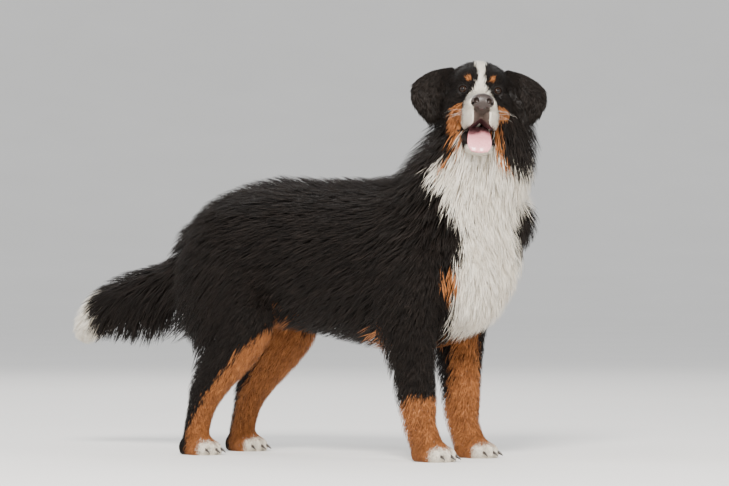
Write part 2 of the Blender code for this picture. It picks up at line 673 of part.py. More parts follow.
def folded(rings):
    """Whether rings along a lock cross each other or turn over."""
    for a, b in zip(rings, rings[1:]):
        step = sum(b, Vector()) / len(b) - sum(a, Vector()) / len(a)
        for k, corner in enumerate(a):
            if (b[k % len(b)] - corner).dot(step) < LOCK_LEAST_STEP * step.length_squared:
                return True
        if len(b) == len(a) and (a[0] - a[-1]).angle(b[0] - b[-1]) > LOCK_MOST_TURN:
            return True
    return False


class Coat:
    """The lie of the coat between the core and the surface that the tips reach."""

    def __init__(self, core, tips):
        self.core = BVHTree.FromPolygons(*self.faces_of(core))
        self.tips = BVHTree.FromPolygons(*self.faces_of(tips))
        rows = [(p, d, size, wide) for p, d, size, wide in LIE]
        rows += [((p[0], -p[1], p[2]), (d[0], -d[1], d[2]), size, wide) for p, d, size, wide in LIE]
        self.places = np.array([r[0] for r in rows])
        self.values = np.array([(*r[1], r[2], r[3]) for r in rows])

    @staticmethod
    def faces_of(obj):
        return [v.co.copy() for v in obj.data.vertices], [tuple(p.vertices) for p in obj.data.polygons]

    def lie(self, point):
        """Direction, length and width of a lock at a point."""
        apart = ((self.places - np.array(point)) ** 2).sum(axis=1) + 1e-5
        weight = apart**-2
        row = weight @ self.values / weight.sum()
        return Vector(row[:3]).normalized(), float(row[3]), float(row[4])

    def rise(self, point, normal):
        """How far the tips stand over the core at a point."""
        hit = self.tips.ray_cast(point + normal * 1e-4, normal, 0.25)
        return hit[3] if hit[0] else self.tips.find_nearest(point)[3]

    def spine(self, root, normal, allowed, draw):
        """Centres, normals, and share of the length, of a lock that starts at a root; None if it has no room."""
        along, length, width = self.lie(root)
        length *= draw.uniform(0.85, 1.15)
        height = self.rise(root, normal)
        if height < LOCK_LEAST_RISE:
            return None
        run = sqrt(max(length**2 - height**2, (0.45 * length) ** 2))
        twist = draw.normal(0.0, 0.12)
        point, steps, places = root.copy(), 8, [(root.copy(), normal.copy())]
        for _ in range(steps):
            along = self.lie(point)[0]
            along = along - normal * along.dot(normal)
            side = normal.cross(along)
            along = (along.normalized() + side.normalized() * twist).normalized()
            near = self.core.find_nearest(point + along * (run / steps))
            point, normal = near[0], near[1]
            over = point + normal * self.rise(point, normal)
            if not (allowed(point) and allowed(over)):
                break
            places.append((point.copy(), normal.copy()))
        share = (len(places) - 1) / steps
        if share < 0.45:
            return None
        return places, width * min(1.0, 0.5 + 0.5 * share)

    def roots(self, obj, allowed, draw):
        """Places on an object's surface spread so that the locks cover it."""
        mesh = obj.data
        mesh.calc_loop_triangles()
        corners = np.array([[mesh.vertices[i].co for i in t.vertices] for t in mesh.loop_triangles])
        inside = [allowed(Vector(centre)) for centre in corners.mean(axis=1)]
        corners = corners[np.array(inside)]
        spans = np.cross(corners[:, 1] - corners[:, 0], corners[:, 2] - corners[:, 0])
        area = np.linalg.norm(spans, axis=1)
        tries = int(area.sum() / 2 * LOCK_TRIES)
        base = corners[draw.choice(len(area), size=tries, p=area / area.sum())]
        u, v = draw.random((2, tries, 1))
        u, v = np.where(u + v > 1, 1 - u, u), np.where(u + v > 1, 1 - v, v)
        points = base[:, 0] + u * (base[:, 1] - base[:, 0]) + v * (base[:, 2] - base[:, 0])
        chosen, ways, reaches = np.empty((0, 3)), np.empty((0, 3)), np.empty((0, 2))
        for point in points:
            gap = point - chosen
            forward = (gap * ways).sum(axis=1)
            sideways2 = np.maximum((gap**2).sum(axis=1) - forward**2, 0.0)
            if ((forward / reaches[:, 0]) ** 2 + sideways2 / reaches[:, 1] ** 2 < 1).any():
                continue
            way, length, width = self.lie(point)
            chosen = np.vstack((chosen, point))
            ways = np.vstack((ways, way))
            reaches = np.vstack((reaches, (LOCK_APART[0] * length, LOCK_APART[1] * width)))
        return [Vector(point) for point in chosen]

    def locks(self, roots, allowed, draw, collection):
        """A lock at each root that has room for one."""
        made = []
        for place in roots:
            near = self.core.find_nearest(place)
            found = allowed(near[0]) and self.spine(near[0], near[1], allowed, draw)
            if found:
                rings = self.rings(*found, draw)
                if not folded(rings):
                    made.append(self.lock(rings, collection))
        return made

    def rings(self, places, width, draw):
        """Corners of the rings of a flat tapered lock, and its tip."""
        last = len(places) - 1
        ahead = (places[-1][0] - places[0][0]).normalized()
        side = ahead.cross(sum((normal for _, normal in places), Vector())).normalized()
        wave = draw.uniform(-LOCK_WAVE, LOCK_WAVE) * width
        rings = []
        for share, wide in LOCK_RINGS:
            at = share * last
            i = min(int(at), last - 1)
            point = places[i][0].lerp(places[i + 1][0], at - i)
            normal = places[i][1].lerp(places[i + 1][1], at - i)
            normal = (normal - side * normal.dot(side)).normalized()
            top = self.rise(point, normal) - 0.7 * LOCK_THICKNESS
            lift = (top + LOCK_SUNK) * share**LOCK_BEND - LOCK_SUNK
            centre = point + normal * lift + side * (wave * sin(2.5 * share))
            if wide == 0.0:
                rings.append([centre])
                continue
            half, thick = wide * width / 2, LOCK_THICKNESS * (1.0 - 0.6 * share)
            low = centre - normal * (0.3 * thick)
            rings.append([low + side * half, centre + normal * (0.7 * thick), low - side * half])
        return rings

    @staticmethod
    def lock(rings, collection):
        """The closed body of one lock."""
        bm = bmesh.new()
        made = [[bm.verts.new(corner) for corner in ring] for ring in rings]
        for a, b in zip(made, made[1:]):
            for k in range(len(a)):
                j = (k + 1) % len(a)
                bm.faces.new((a[k], a[j], b[j], b[k]) if len(b) > 1 else (a[k], a[j], b[0]))
        bm.faces.new(made[0][::-1])
        bmesh.ops.triangulate(bm, faces=bm.faces)
        bmesh.ops.recalc_face_normals(bm, faces=bm.faces)
        return object_of(bm, "lock", collection)


def copied(obj, name, collection):
    made = obj.copy()
    made.data = obj.data.copy()
    made.name = name
    collection.objects.link(made)
    return made


def beyond(point, plane):
    """How far a point lies past a plane, given by a point on it and its direction."""
    return (point - plane[0]).dot(plane[1].normalized())


def in_column(point, kind, side):
    """Whether a point lies inside a leg's column."""
    x, y = kind["centre"]
    over = max(point.z - kind["straight"], 0.0) / kind["dome"]
    across = ((point.x - x) / kind["radii"][0]) ** 2 + ((side * point.y - y) / kind["radii"][1]) ** 2
    return across + over**2 < 0.97


def in_torso(point):
    legs = any(in_column(point, kind, side) for kind in (FORE_COLUMN, HIND_COLUMN) for side in (1, -1))
    return not legs and beyond(point, NECK_CUT) < -0.002 and beyond(point, TAIL_CUT) < -0.002


def in_neck(point):
    return beyond(point, NECK_CUT) > 0.002 and beyond(point, head_cut()) < -0.002


def in_tail(point):
    return beyond(point, TAIL_CUT) > 0.002


def in_leg(kind, side):
    return lambda point: in_column(point, kind, side) and point.z > 0.02


def sound(obj):
    """Whether an object's surface is closed and touches itself nowhere."""
    bm = bmesh.new()
    bm.from_mesh(obj.data)
    closed = all(len(edge.link_faces) == 2 for edge in bm.edges)
    bm.free()
    return closed


def coated(obj, coat, allowed, seed, collection):
    """Fuses the locks of one node with its core, drawn again where they would touch along an edge."""
    core = obj.data
    for attempt in range(LOCK_DRAWS):
        draw = np.random.default_rng(LOCK_SEED + seed + LOCK_DRAWS * attempt)
        locks = coat.locks(coat.roots(obj, allowed, draw), allowed, draw, collection)
        if not locks:
            return
        joined(obj, locks, "UNION", knotted=True)
        largest_surface(obj)
        if sound(obj):
            return
        obj.data = core


def make_body(dog, cutters):
    """Torso, neck and tail, parted from one surface, and the four legs, each with its locks."""
    head_plane = head_cut()
    core = skin_over(body_forms(CORE_SHARE), "core", dog, BODY_VOXEL, 4, BODY_FACES)
    tips = skin_over(body_forms(TIP_SHARE), "tips", dog, BODY_VOXEL, 4, BODY_FACES)
    coat = Coat(core, tips)
    bpy.data.objects.remove(tips)
    torso, neck, tail = (copied(core, name, dog) for name in ("torso", "neck", "tail"))
    bpy.data.objects.remove(core)
    coated(torso, coat, in_torso, 1, cutters)
    coated(neck, coat, in_neck, 2, cutters)
    coated(tail, coat, in_tail, 3, cutters)
    cuts = [half_space(cutters, *NECK_CUT, -GAP / 2), half_space(cutters, *TAIL_CUT, -GAP / 2)]
    for side in (1, -1):
        cuts.append(leg_column(FORE_COLUMN, side, cutters, GAP))
        cuts.append(leg_column(HIND_COLUMN, side, cutters, GAP))
    for cut in cuts:
        joined(torso, [cut], "DIFFERENCE")
    joined(neck, [half_space(cutters, NECK_CUT[0], -NECK_CUT[1], -GAP / 2)], "DIFFERENCE")
    joined(neck, [half_space(cutters, *head_plane, -GAP / 2)], "DIFFERENCE")
    joined(tail, [half_space(cutters, TAIL_CUT[0], -TAIL_CUT[1], -GAP / 2)], "DIFFERENCE")
    nodes = [torso, neck, tail]
    for side, word in ((1, "left"), (-1, "right")):
        for kind, forms, box, foot in (
            ("foreleg", foreleg_forms, FORE_COLUMN, FORELEG),
            ("hindleg", hindleg_forms, HIND_COLUMN, SHANK),
        ):
            bm = bmesh.new()
            trunk_forms(bm, CORE_SHARE)
            forms(bm, side, CORE_SHARE)
            leg = skin_over(bm, f"{kind}_{word}", dog, LEG_VOXEL, 3, LEG_FACES)
            coated(leg, coat, in_leg(box, side), 4 + len(nodes), cutters)
            joined(leg, [leg_column(box, side, cutters)], "INTERSECT")
            joined(leg, claws(foot, side, cutters), "UNION")
            joined(leg, [ground(cutters)], "DIFFERENCE")
            nodes.append(leg)
    return nodes


def make_head(dog, cutters, share, neck):
    """The head with lids, lips and mouth, and the pieces that sit in it."""
    place = head_matrix()
    head_point, head_ahead = head_cut()
    head = skin_over(head_forms(share), "head", dog, HEAD_VOXEL, 8, HEAD_FACES)
    joined(head, [half_space(cutters, head_point, -head_ahead, -GAP / 2)], "DIFFERENCE")
    lids, openings = bmesh.new(), bmesh.new()
    for side in (1, -1):
        centre = eye_centre(side)
        gaze = Vector((cos(radians(EYE_TURN)), side * sin(radians(EYE_TURN)), 0.0))
        ball(lids, centre, [EYE_RADIUS + LID_THICKNESS] * 3, place=place, fine=12)
        ball(openings, centre + gaze * EYE_RADIUS, EYE_OPENING, turn=(0, 0, side * EYE_TURN), place=place, fine=12)
    joined(head, [object_of(lids, "lids", cutters)], "UNION")
    cuts = [object_of(openings, "openings", cutters)]
    cuts += [object_of(eye_form(side, GAP), "eye_room", cutters) for side in (1, -1)]
    cuts += [object_of(ear_form(side, GAP, share), "ear_room", cutters) for side in (1, -1)]
    cuts.append(object_of(tongue_form(GAP), "tongue_room", cutters))
    cuts.append(object_of(jaw_form(GAP, share), "jaw_room", cutters))
    mouth = bmesh.new()
    loft(mouth, MOUTH, 0.0, steps=2, square=1.1, place=place, sides=12)
    cuts.append(object_of(mouth, "mouth", cutters))
    nose_room = region("nose_room", cutters, (NOSE_BACK + 0.0201, 0.0003, -0.0443), (0.04, 0.0613, 0.0417), place)
    cuts.append(nose_room)
    for cut in cuts:
        joined(head, [cut], "DIFFERENCE")
    joined(neck, [object_of(jaw_form(GAP, share), "jaw_room", cutters)], "DIFFERENCE")
    joined(neck, [object_of(tongue_form(GAP), "tongue_room", cutters)], "DIFFERENCE")

    jaw = object_of(jaw_form(0.0, share), "jaw", dog)
    joined(jaw, [object_of(tongue_form(GAP), "tongue_room", cutters)], "DIFFERENCE")
    tongue = object_of(tongue_form(), "tongue", dog)
    nose = skin_over(nose_form(), "nose", dog, 0.0012, 2, NOSE_FACES)
    joined(nose, [half_space(cutters, place @ Vector((NOSE_BACK + GAP, 0, 0)), place.to_3x3() @ Vector((-1, 0, 0)), 0.0)], "DIFFERENCE")
    nostrils = bmesh.new()
    for centre, radii, turn in NOSTRILS:
        for side in (1, -1):
            at = (centre[0], side * centre[1], centre[2])
            ball(nostrils, at, radii, turn=(0, 0, side * turn[2]), place=place, fine=10)
    joined(nose, [object_of(nostrils, "nostrils", cutters)], "DIFFERENCE")
    nodes = [head, jaw, tongue, nose]
    for side, word in ((1, "left"), (-1, "right")):
        nodes.append(object_of(eye_form(side), f"eye_{word}", dog))
        ear = object_of(ear_form(side, 0.0, share), f"ear_{word}", dog)
        cup = bmesh.new()
        centre, radii = EAR_CUP
        ball(cup, (centre[0], side * centre[1], centre[2]), radii, place=place, fine=12)
        nodes.append(joined(ear, [object_of(cup, "cup", cutters)], "DIFFERENCE"))
    return nodes


def settle(nodes):
    """Moves the dog so that the origin lies on the floor under the middle of its box."""
    corners = np.array([v.co for obj in nodes for v in obj.data.vertices])
    low, high = corners.min(axis=0), corners.max(axis=0)
    shift = Vector((-(low[0] + high[0]) / 2, -(low[1] + high[1]) / 2, -low[2]))
    for obj in nodes:
        obj.data.transform(Matrix.Translation(shift))


def main():
    clear_scene()
    dog = bpy.data.collections.new("bernese_mountain_dog")
    cutters = bpy.data.collections.new("cutters")
    for made in (dog, cutters):
        bpy.context.scene.collection.children.link(made)
    nodes = make_body(dog, cutters)
    neck = nodes[1]
    nodes += make_head(dog, cutters, TIP_SHARE, neck)
    for obj in nodes:
        largest_surface(obj)
        obj.data.materials.clear()
        obj.data.materials.append(finish(NODE_FINISH.get(obj.name, "black_coat")))
    settle(nodes)


main()
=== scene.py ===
"""Looks of a standing Bernese mountain dog: skin, coat, eyes, nose, tongue, claws and a plain studio.

Every form is shaped in the dog's own frame, where it faces +X, its left side is +Y and the floor is z = 0,
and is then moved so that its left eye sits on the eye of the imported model.
"""

import logging
from dataclasses import dataclass, field
from enum import Enum
from math import cos, pi, radians, sin

import bmesh
import bpy
import numpy as np
from mathutils import Euler, Matrix, Vector
from mathutils.bvhtree import BVHTree
from mathutils.kdtree import KDTree

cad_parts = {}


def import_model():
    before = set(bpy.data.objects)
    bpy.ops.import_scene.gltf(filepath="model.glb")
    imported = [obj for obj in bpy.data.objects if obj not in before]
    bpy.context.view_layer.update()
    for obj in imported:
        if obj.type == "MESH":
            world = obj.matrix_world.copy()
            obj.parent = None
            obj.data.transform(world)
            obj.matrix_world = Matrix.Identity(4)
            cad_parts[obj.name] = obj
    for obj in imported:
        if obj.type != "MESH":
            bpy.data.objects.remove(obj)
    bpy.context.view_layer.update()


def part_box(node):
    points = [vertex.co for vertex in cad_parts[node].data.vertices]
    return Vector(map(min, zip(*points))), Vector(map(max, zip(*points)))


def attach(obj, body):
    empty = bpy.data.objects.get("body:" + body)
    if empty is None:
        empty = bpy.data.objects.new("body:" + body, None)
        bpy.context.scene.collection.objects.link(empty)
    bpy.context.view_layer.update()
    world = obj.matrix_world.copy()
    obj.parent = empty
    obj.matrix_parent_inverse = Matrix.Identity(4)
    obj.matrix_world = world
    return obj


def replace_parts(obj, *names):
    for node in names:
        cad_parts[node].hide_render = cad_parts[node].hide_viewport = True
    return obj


log = logging.getLogger("dog")

Rows = list[tuple[float, ...]]
Guides = list[tuple[tuple[float, ...], tuple[float, ...]]]

# Place and turn of the head, eye sizes, in metres and degrees
HEAD_PLACE = Vector((0.466, -0.084, 0.863))
HEAD_YAW = -58.0
HEAD_PITCH = 7.0
HEAD_ROLL = -3.0
EYE_SPREAD = 0.0379
EYE_RADIUS = 0.0118
RING_SIDES = 32

# Stations along a form: x, y, z, half width, half height up and down, coat depth at the side, up and down
TRUNK: Rows = [
    (-0.354, 0.000, 0.488, 0.028, 0.028, 0.036, 0.032, 0.026, 0.030),
    (-0.337, 0.000, 0.494, 0.060, 0.058, 0.082, 0.034, 0.028, 0.034),
    (-0.285, 0.000, 0.502, 0.096, 0.100, 0.135, 0.032, 0.032, 0.034),
    (-0.210, 0.000, 0.500, 0.114, 0.132, 0.158, 0.030, 0.034, 0.036),
    (-0.130, 0.000, 0.495, 0.122, 0.146, 0.150, 0.030, 0.040, 0.040),
    (-0.040, 0.000, 0.490, 0.130, 0.150, 0.152, 0.030, 0.034, 0.044),
    (0.050, 0.000, 0.488, 0.142, 0.154, 0.162, 0.030, 0.030, 0.047),
    (0.130, 0.000, 0.485, 0.150, 0.160, 0.172, 0.030, 0.028, 0.050),
    (0.200, 0.000, 0.485, 0.154, 0.163, 0.178, 0.034, 0.028, 0.052),
    (0.280, 0.000, 0.485, 0.158, 0.160, 0.175, 0.042, 0.030, 0.052),
    (0.345, 0.000, 0.482, 0.154, 0.142, 0.160, 0.050, 0.040, 0.052),
    (0.395, -0.004, 0.478, 0.134, 0.118, 0.138, 0.052, 0.045, 0.052),
    (0.425, -0.010, 0.475, 0.092, 0.082, 0.095, 0.050, 0.045, 0.050),
]
NECK: Rows = [
    (0.200, 0.000, 0.500, 0.110, 0.110, 0.110, 0.040, 0.030, 0.040),
    (0.292, 0.006, 0.580, 0.130, 0.094, 0.125, 0.050, 0.034, 0.046),
    (0.356, 0.014, 0.660, 0.122, 0.084, 0.112, 0.058, 0.042, 0.052),
    (0.407, 0.014, 0.735, 0.101, 0.078, 0.100, 0.056, 0.044, 0.052),
    (0.430, -0.001, 0.800, 0.083, 0.068, 0.086, 0.044, 0.034, 0.040),
    (0.426, -0.022, 0.845, 0.062, 0.056, 0.060, 0.016, 0.014, 0.014),
]
TAIL: Rows = [
    (-0.290, 0.000, 0.515, 0.040, 0.035, 0.035, 0.020, 0.020, 0.030),
    (-0.360, 0.000, 0.482, 0.030, 0.026, 0.026, 0.036, 0.012, 0.150),
    (-0.450, 0.000, 0.442, 0.020, 0.018, 0.018, 0.046, 0.014, 0.155),
    (-0.550, 0.000, 0.410, 0.015, 0.014, 0.014, 0.050, 0.028, 0.148),
    (-0.640, 0.000, 0.370, 0.012, 0.011, 0.011, 0.046, 0.033, 0.118),
    (-0.695, 0.000, 0.318, 0.009, 0.008, 0.008, 0.034, 0.028, 0.075),
    (-0.716, 0.000, 0.280, 0.005, 0.005, 0.005, 0.018, 0.018, 0.030),
]
FORELEG: Rows = [
    (0.335, 0.120, 0.500, 0.045, 0.060, 0.070, 0.026, 0.020, 0.030),
    (0.322, 0.124, 0.430, 0.056, 0.066, 0.080, 0.020, 0.016, 0.030),
    (0.304, 0.126, 0.345, 0.050, 0.056, 0.062, 0.022, 0.016, 0.040),
    (0.308, 0.121, 0.280, 0.039, 0.046, 0.044, 0.020, 0.012, 0.044),
    (0.316, 0.113, 0.200, 0.030, 0.035, 0.033, 0.015, 0.011, 0.040),
    (0.322, 0.108, 0.130, 0.028, 0.031, 0.031, 0.012, 0.009, 0.032),
    (0.325, 0.106, 0.085, 0.025, 0.027, 0.027, 0.011, 0.007, 0.026),
    (0.334, 0.105, 0.045, 0.030, 0.034, 0.032, 0.008, 0.004, 0.012),
    (0.340, 0.105, 0.018, 0.034, 0.036, 0.036, 0.004, 0.003, 0.004),
]
THIGH: Rows = [
    (-0.262, 0.060, 0.570, 0.042, 0.055, 0.045, 0.024, 0.020, 0.024),
    (-0.245, 0.076, 0.510, 0.058, 0.105, 0.080, 0.028, 0.022, 0.036),
    (-0.222, 0.090, 0.440, 0.064, 0.122, 0.105, 0.028, 0.020, 0.050),
    (-0.192, 0.098, 0.370, 0.058, 0.104, 0.100, 0.024, 0.016, 0.066),
    (-0.165, 0.104, 0.315, 0.044, 0.070, 0.080, 0.018, 0.012, 0.070),
    (-0.150, 0.106, 0.280, 0.026, 0.036, 0.046, 0.012, 0.008, 0.060),
]
SHANK: Rows = [
    (-0.150, 0.106, 0.370, 0.046, 0.062, 0.060, 0.020, 0.014, 0.060),
    (-0.168, 0.107, 0.300, 0.042, 0.060, 0.068, 0.018, 0.014, 0.078),
    (-0.204, 0.107, 0.235, 0.033, 0.044, 0.054, 0.014, 0.013, 0.074),
    (-0.242, 0.106, 0.185, 0.027, 0.036, 0.040, 0.010, 0.008, 0.044),
    (-0.270, 0.105, 0.148, 0.026, 0.034, 0.036, 0.008, 0.006, 0.024),
    (-0.287, 0.105, 0.105, 0.024, 0.027, 0.030, 0.007, 0.005, 0.014),
    (-0.300, 0.105, 0.060, 0.025, 0.028, 0.028, 0.006, 0.004, 0.010),
    (-0.306, 0.105, 0.025, 0.032, 0.036, 0.030, 0.005, 0.003, 0.004),
]
# Toes of a paw: forward and sideways place from the paw's middle, length, width and height
TOES: Rows = [
    (0.030, -0.030, 0.028, 0.0155, 0.021),
    (0.044, -0.011, 0.030, 0.0165, 0.024),
    (0.044, 0.011, 0.030, 0.0165, 0.024),
    (0.030, 0.030, 0.028, 0.0155, 0.021),
]
# The ruff on the base of the neck, wider on the outer side of its bend: place, radii, coat depth
RUFF = [
    ((0.372, 0.030, 0.600), (0.084, 0.124, 0.100), 0.050),
    ((0.400, 0.000, 0.480), (0.044, 0.120, 0.140), 0.046),
    ((0.440, 0.122, 0.565), (0.028, 0.038, 0.045), 0.040),
]
# Feathers of the rump and the breeches, which only the coat reaches: place, radii
FEATHERS = [
    ((-0.345, 0.000, 0.490), (0.078, 0.105, 0.092)),
    ((-0.352, 0.000, 0.362), (0.060, 0.085, 0.098)),
]
# The same behind the ears, in the head's frame
MANE = ((-0.090, 0.076, -0.044), (0.034, 0.034, 0.084))
# Soft masses of the head in its own frame, which starts midway between the eyes: place, radii, coat depth
SKULL = [
    ((-0.068, 0.000, 0.012), (0.072, 0.072, 0.062), 0.008),
    ((-0.108, 0.000, -0.008), (0.058, 0.064, 0.064), 0.016),
    ((-0.047, 0.000, -0.084), (0.030, 0.032, 0.026), 0.000),
]
SKULL_PAIRS = [
    ((-0.026, 0.0280, 0.026), (0.030, 0.0280, 0.028), 0.004),
    ((-0.030, 0.0500, -0.018), (0.034, 0.0220, 0.020), 0.005),
    ((-0.009, 0.0379, 0.000), (0.016, 0.0160, 0.016), 0.001),
    ((-0.045, 0.0520, -0.045), (0.050, 0.0260, 0.042), 0.010),
    ((-0.060, 0.0480, -0.084), (0.045, 0.0280, 0.038), 0.012),
    ((0.051, 0.0190, -0.074), (0.039, 0.0200, 0.030), 0.002),
    ((0.018, 0.0300, -0.070), (0.040, 0.0150, 0.028), 0.003),
    ((-0.056, 0.0760, -0.002), (0.012, 0.0120, 0.030), 0.003),
]
MUZZLE: Rows = [
    (-0.030, 0.0, -0.032, 0.0440, 0.0340, 0.0400, 0.004, 0.003, 0.004),
    (0.005, 0.0, -0.036, 0.0400, 0.0280, 0.0380, 0.003, 0.002, 0.003),
    (0.035, 0.0, -0.041, 0.0365, 0.0215, 0.0360, 0.002, 0.002, 0.002),
    (0.065, 0.0, -0.045, 0.0345, 0.0200, 0.0340, 0.002, 0.001, 0.002),
    (0.084, 0.0, -0.048, 0.0320, 0.0190, 0.0320, 0.001, 0.001, 0.001),
    (0.088, 0.0, -0.050, 0.0270, 0.0160, 0.0270, 0.001, 0.001, 0.001),
]
JAW: Rows = [
    (-0.075, 0.0, -0.074, 0.046, 0.026, 0.028, 0.012, 0.004, 0.014),
    (-0.040, 0.0, -0.096, 0.044, 0.020, 0.024, 0.010, 0.003, 0.014),
    (-0.005, 0.0, -0.116, 0.038, 0.016, 0.018, 0.006, 0.002, 0.012),
    (0.025, 0.0, -0.134, 0.035, 0.015, 0.015, 0.004, 0.001, 0.008),
    (0.044, 0.0, -0.145, 0.030, 0.014, 0.012, 0.003, 0.001, 0.005),
    (0.052, 0.0, -0.149, 0.021, 0.010, 0.008, 0.002, 0.001, 0.003),
]
MOUTH: Rows = [
    (-0.014, 0.0, -0.088, 0.034, 0.004, 0.005, 0.0, 0.0, 0.0),
    (0.010, 0.0, -0.098, 0.032, 0.013, 0.012, 0.0, 0.0, 0.0),
    (0.040, 0.0, -0.107, 0.032, 0.025, 0.019, 0.0, 0.0, 0.0),
    (0.075, 0.0, -0.111, 0.034, 0.033, 0.026, 0.0, 0.0, 0.0),
    (0.120, 0.0, -0.116, 0.038, 0.042, 0.036, 0.0, 0.0, 0.0),
]
TONGUE: Rows = [
    (-0.004, 0.0, -0.0900, 0.020, 0.0050, 0.0050, 0.0, 0.0, 0.0),
    (0.020, 0.0, -0.1040, 0.025, 0.0055, 0.0055, 0.0, 0.0, 0.0),
    (0.042, 0.0, -0.1190, 0.027, 0.0050, 0.0050, 0.0, 0.0, 0.0),
    (0.058, 0.0, -0.1310, 0.028, 0.0045, 0.0045, 0.0, 0.0, 0.0),
    (0.067, 0.0, -0.1450, 0.026, 0.0042, 0.0042, 0.0, 0.0, 0.0),
    (0.070, 0.0, -0.1560, 0.019, 0.0038, 0.0038, 0.0, 0.0, 0.0),
]
EAR: Rows = [
    (-0.064, 0.058, 0.050, 0.0140, 0.0070, 0.0070, 0.003, 0.002, 0.002),
    (-0.058, 0.084, 0.037, 0.0200, 0.0062, 0.0062, 0.004, 0.003, 0.003),
    (-0.051, 0.105, 0.017, 0.0310, 0.0054, 0.0054, 0.005, 0.003, 0.003),
    (-0.046, 0.118, -0.007, 0.0390, 0.0050, 0.0050, 0.006, 0.003, 0.003),
    (-0.043, 0.115, -0.031, 0.0300, 0.0046, 0.0046, 0.006, 0.003, 0.003),
    (-0.042, 0.107, -0.054, 0.0180, 0.0040, 0.0040, 0.005, 0.003, 0.003),
    (-0.042, 0.103, -0.074, 0.0060, 0.0032, 0.0032, 0.005, 0.002, 0.002),
]

# The nose, its nostrils and the slits at their sides
NOSE = [
    ((0.0960, 0.000, -0.0430), (0.0160, 0.0255, 0.0180)),
    ((0.1000, 0.013, -0.0460), (0.0125, 0.0140, 0.0130)),
    ((0.0960, 0.000, -0.0540), (0.0100, 0.0125, 0.0095)),
]
NOSTRILS = [
    ((0.1090, 0.0145, -0.0445), (0.0085, 0.0062, 0.0070), (0, 0, 18)),
    ((0.1040, 0.0212, -0.0505), (0.0090, 0.0060, 0.0026), (0, 0, 30)),
]

# How the coat lies on the left half: place and direction
LIE: Guides = [
    ((0.33, 0.04, 0.80), (-0.60, 0.10, -0.79)),
    ((0.37, 0.11, 0.74), (-0.20, 0.08, -0.98)),
    ((0.44, 0.09, 0.71), (-0.04, 0.05, -1.00)),
    ((0.47, 0.05, 0.74), (-0.02, 0.03, -1.00)),
    ((0.30, 0.05, 0.70), (-0.80, 0.10, -0.59)),
    ((0.38, 0.16, 0.62), (-0.35, 0.15, -0.92)),
    ((0.48, 0.00, 0.62), (0.05, 0.00, -1.00)),
    ((0.47, 0.10, 0.54), (-0.05, 0.10, -0.99)),
    ((0.48, 0.00, 0.44), (-0.10, 0.00, -0.99)),
    ((0.44, 0.12, 0.42), (-0.25, 0.08, -0.96)),
    ((0.42, 0.03, 0.33), (-0.35, 0.00, -0.94)),
    ((0.28, 0.19, 0.52), (-0.65, 0.06, -0.76)),
    ((0.28, 0.18, 0.38), (-0.50, 0.00, -0.87)),
    ((0.18, 0.00, 0.68), (-1.00, 0.00, -0.04)),
    ((0.00, 0.00, 0.68), (-1.00, 0.00, -0.04)),
    ((-0.16, 0.00, 0.68), (-0.99, 0.00, -0.12)),
    ((-0.28, 0.00, 0.63), (-0.85, 0.00, -0.52)),
    ((0.14, 0.17, 0.56), (-0.92, 0.02, -0.38)),
    ((-0.02, 0.16, 0.56), (-0.93, 0.00, -0.36)),
    ((-0.16, 0.15, 0.56), (-0.88, 0.00, -0.46)),
    ((0.14, 0.18, 0.42), (-0.84, 0.00, -0.54)),
    ((0.00, 0.16, 0.42), (-0.86, 0.00, -0.51)),
    ((-0.12, 0.14, 0.40), (-0.82, 0.00, -0.57)),
    ((0.15, 0.10, 0.29), (-0.70, 0.00, -0.71)),
    ((0.00, 0.09, 0.30), (-0.72, 0.00, -0.69)),
    ((0.08, 0.00, 0.27), (-0.80, 0.00, -0.60)),
    ((-0.27, 0.13, 0.54), (-0.55, 0.05, -0.83)),
    ((-0.22, 0.16, 0.42), (-0.50, 0.03, -0.87)),
    ((-0.35, 0.06, 0.46), (-0.45, 0.00, -0.89)),
    ((-0.32, 0.12, 0.36), (-0.45, 0.00, -0.89)),
    ((-0.29, 0.12, 0.27), (-0.45, 0.00, -0.89)),
    ((-0.12, 0.14, 0.34), (-0.55, 0.00, -0.84)),
    ((-0.30, 0.11, 0.20), (-0.40, 0.00, -0.92)),
    ((-0.31, 0.11, 0.10), (-0.10, 0.00, -0.99)),
    ((0.25, 0.13, 0.30), (-0.40, 0.00, -0.92)),
    ((0.28, 0.12, 0.20), (-0.30, 0.00, -0.95)),
    ((0.29, 0.11, 0.12), (-0.20, 0.00, -0.98)),
    ((-0.42, 0.03, 0.46), (-0.90, 0.05, -0.42)),
    ((-0.56, 0.03, 0.43), (-0.90, 0.05, -0.42)),
    ((-0.46, 0.06, 0.34), (-0.60, 0.05, -0.80)),
    ((-0.56, 0.05, 0.32), (-0.60, 0.05, -0.80)),
    ((-0.66, 0.03, 0.34), (-0.70, 0.05, -0.70)),
    ((-0.71, 0.02, 0.28), (-0.30, 0.02, -0.95)),
]
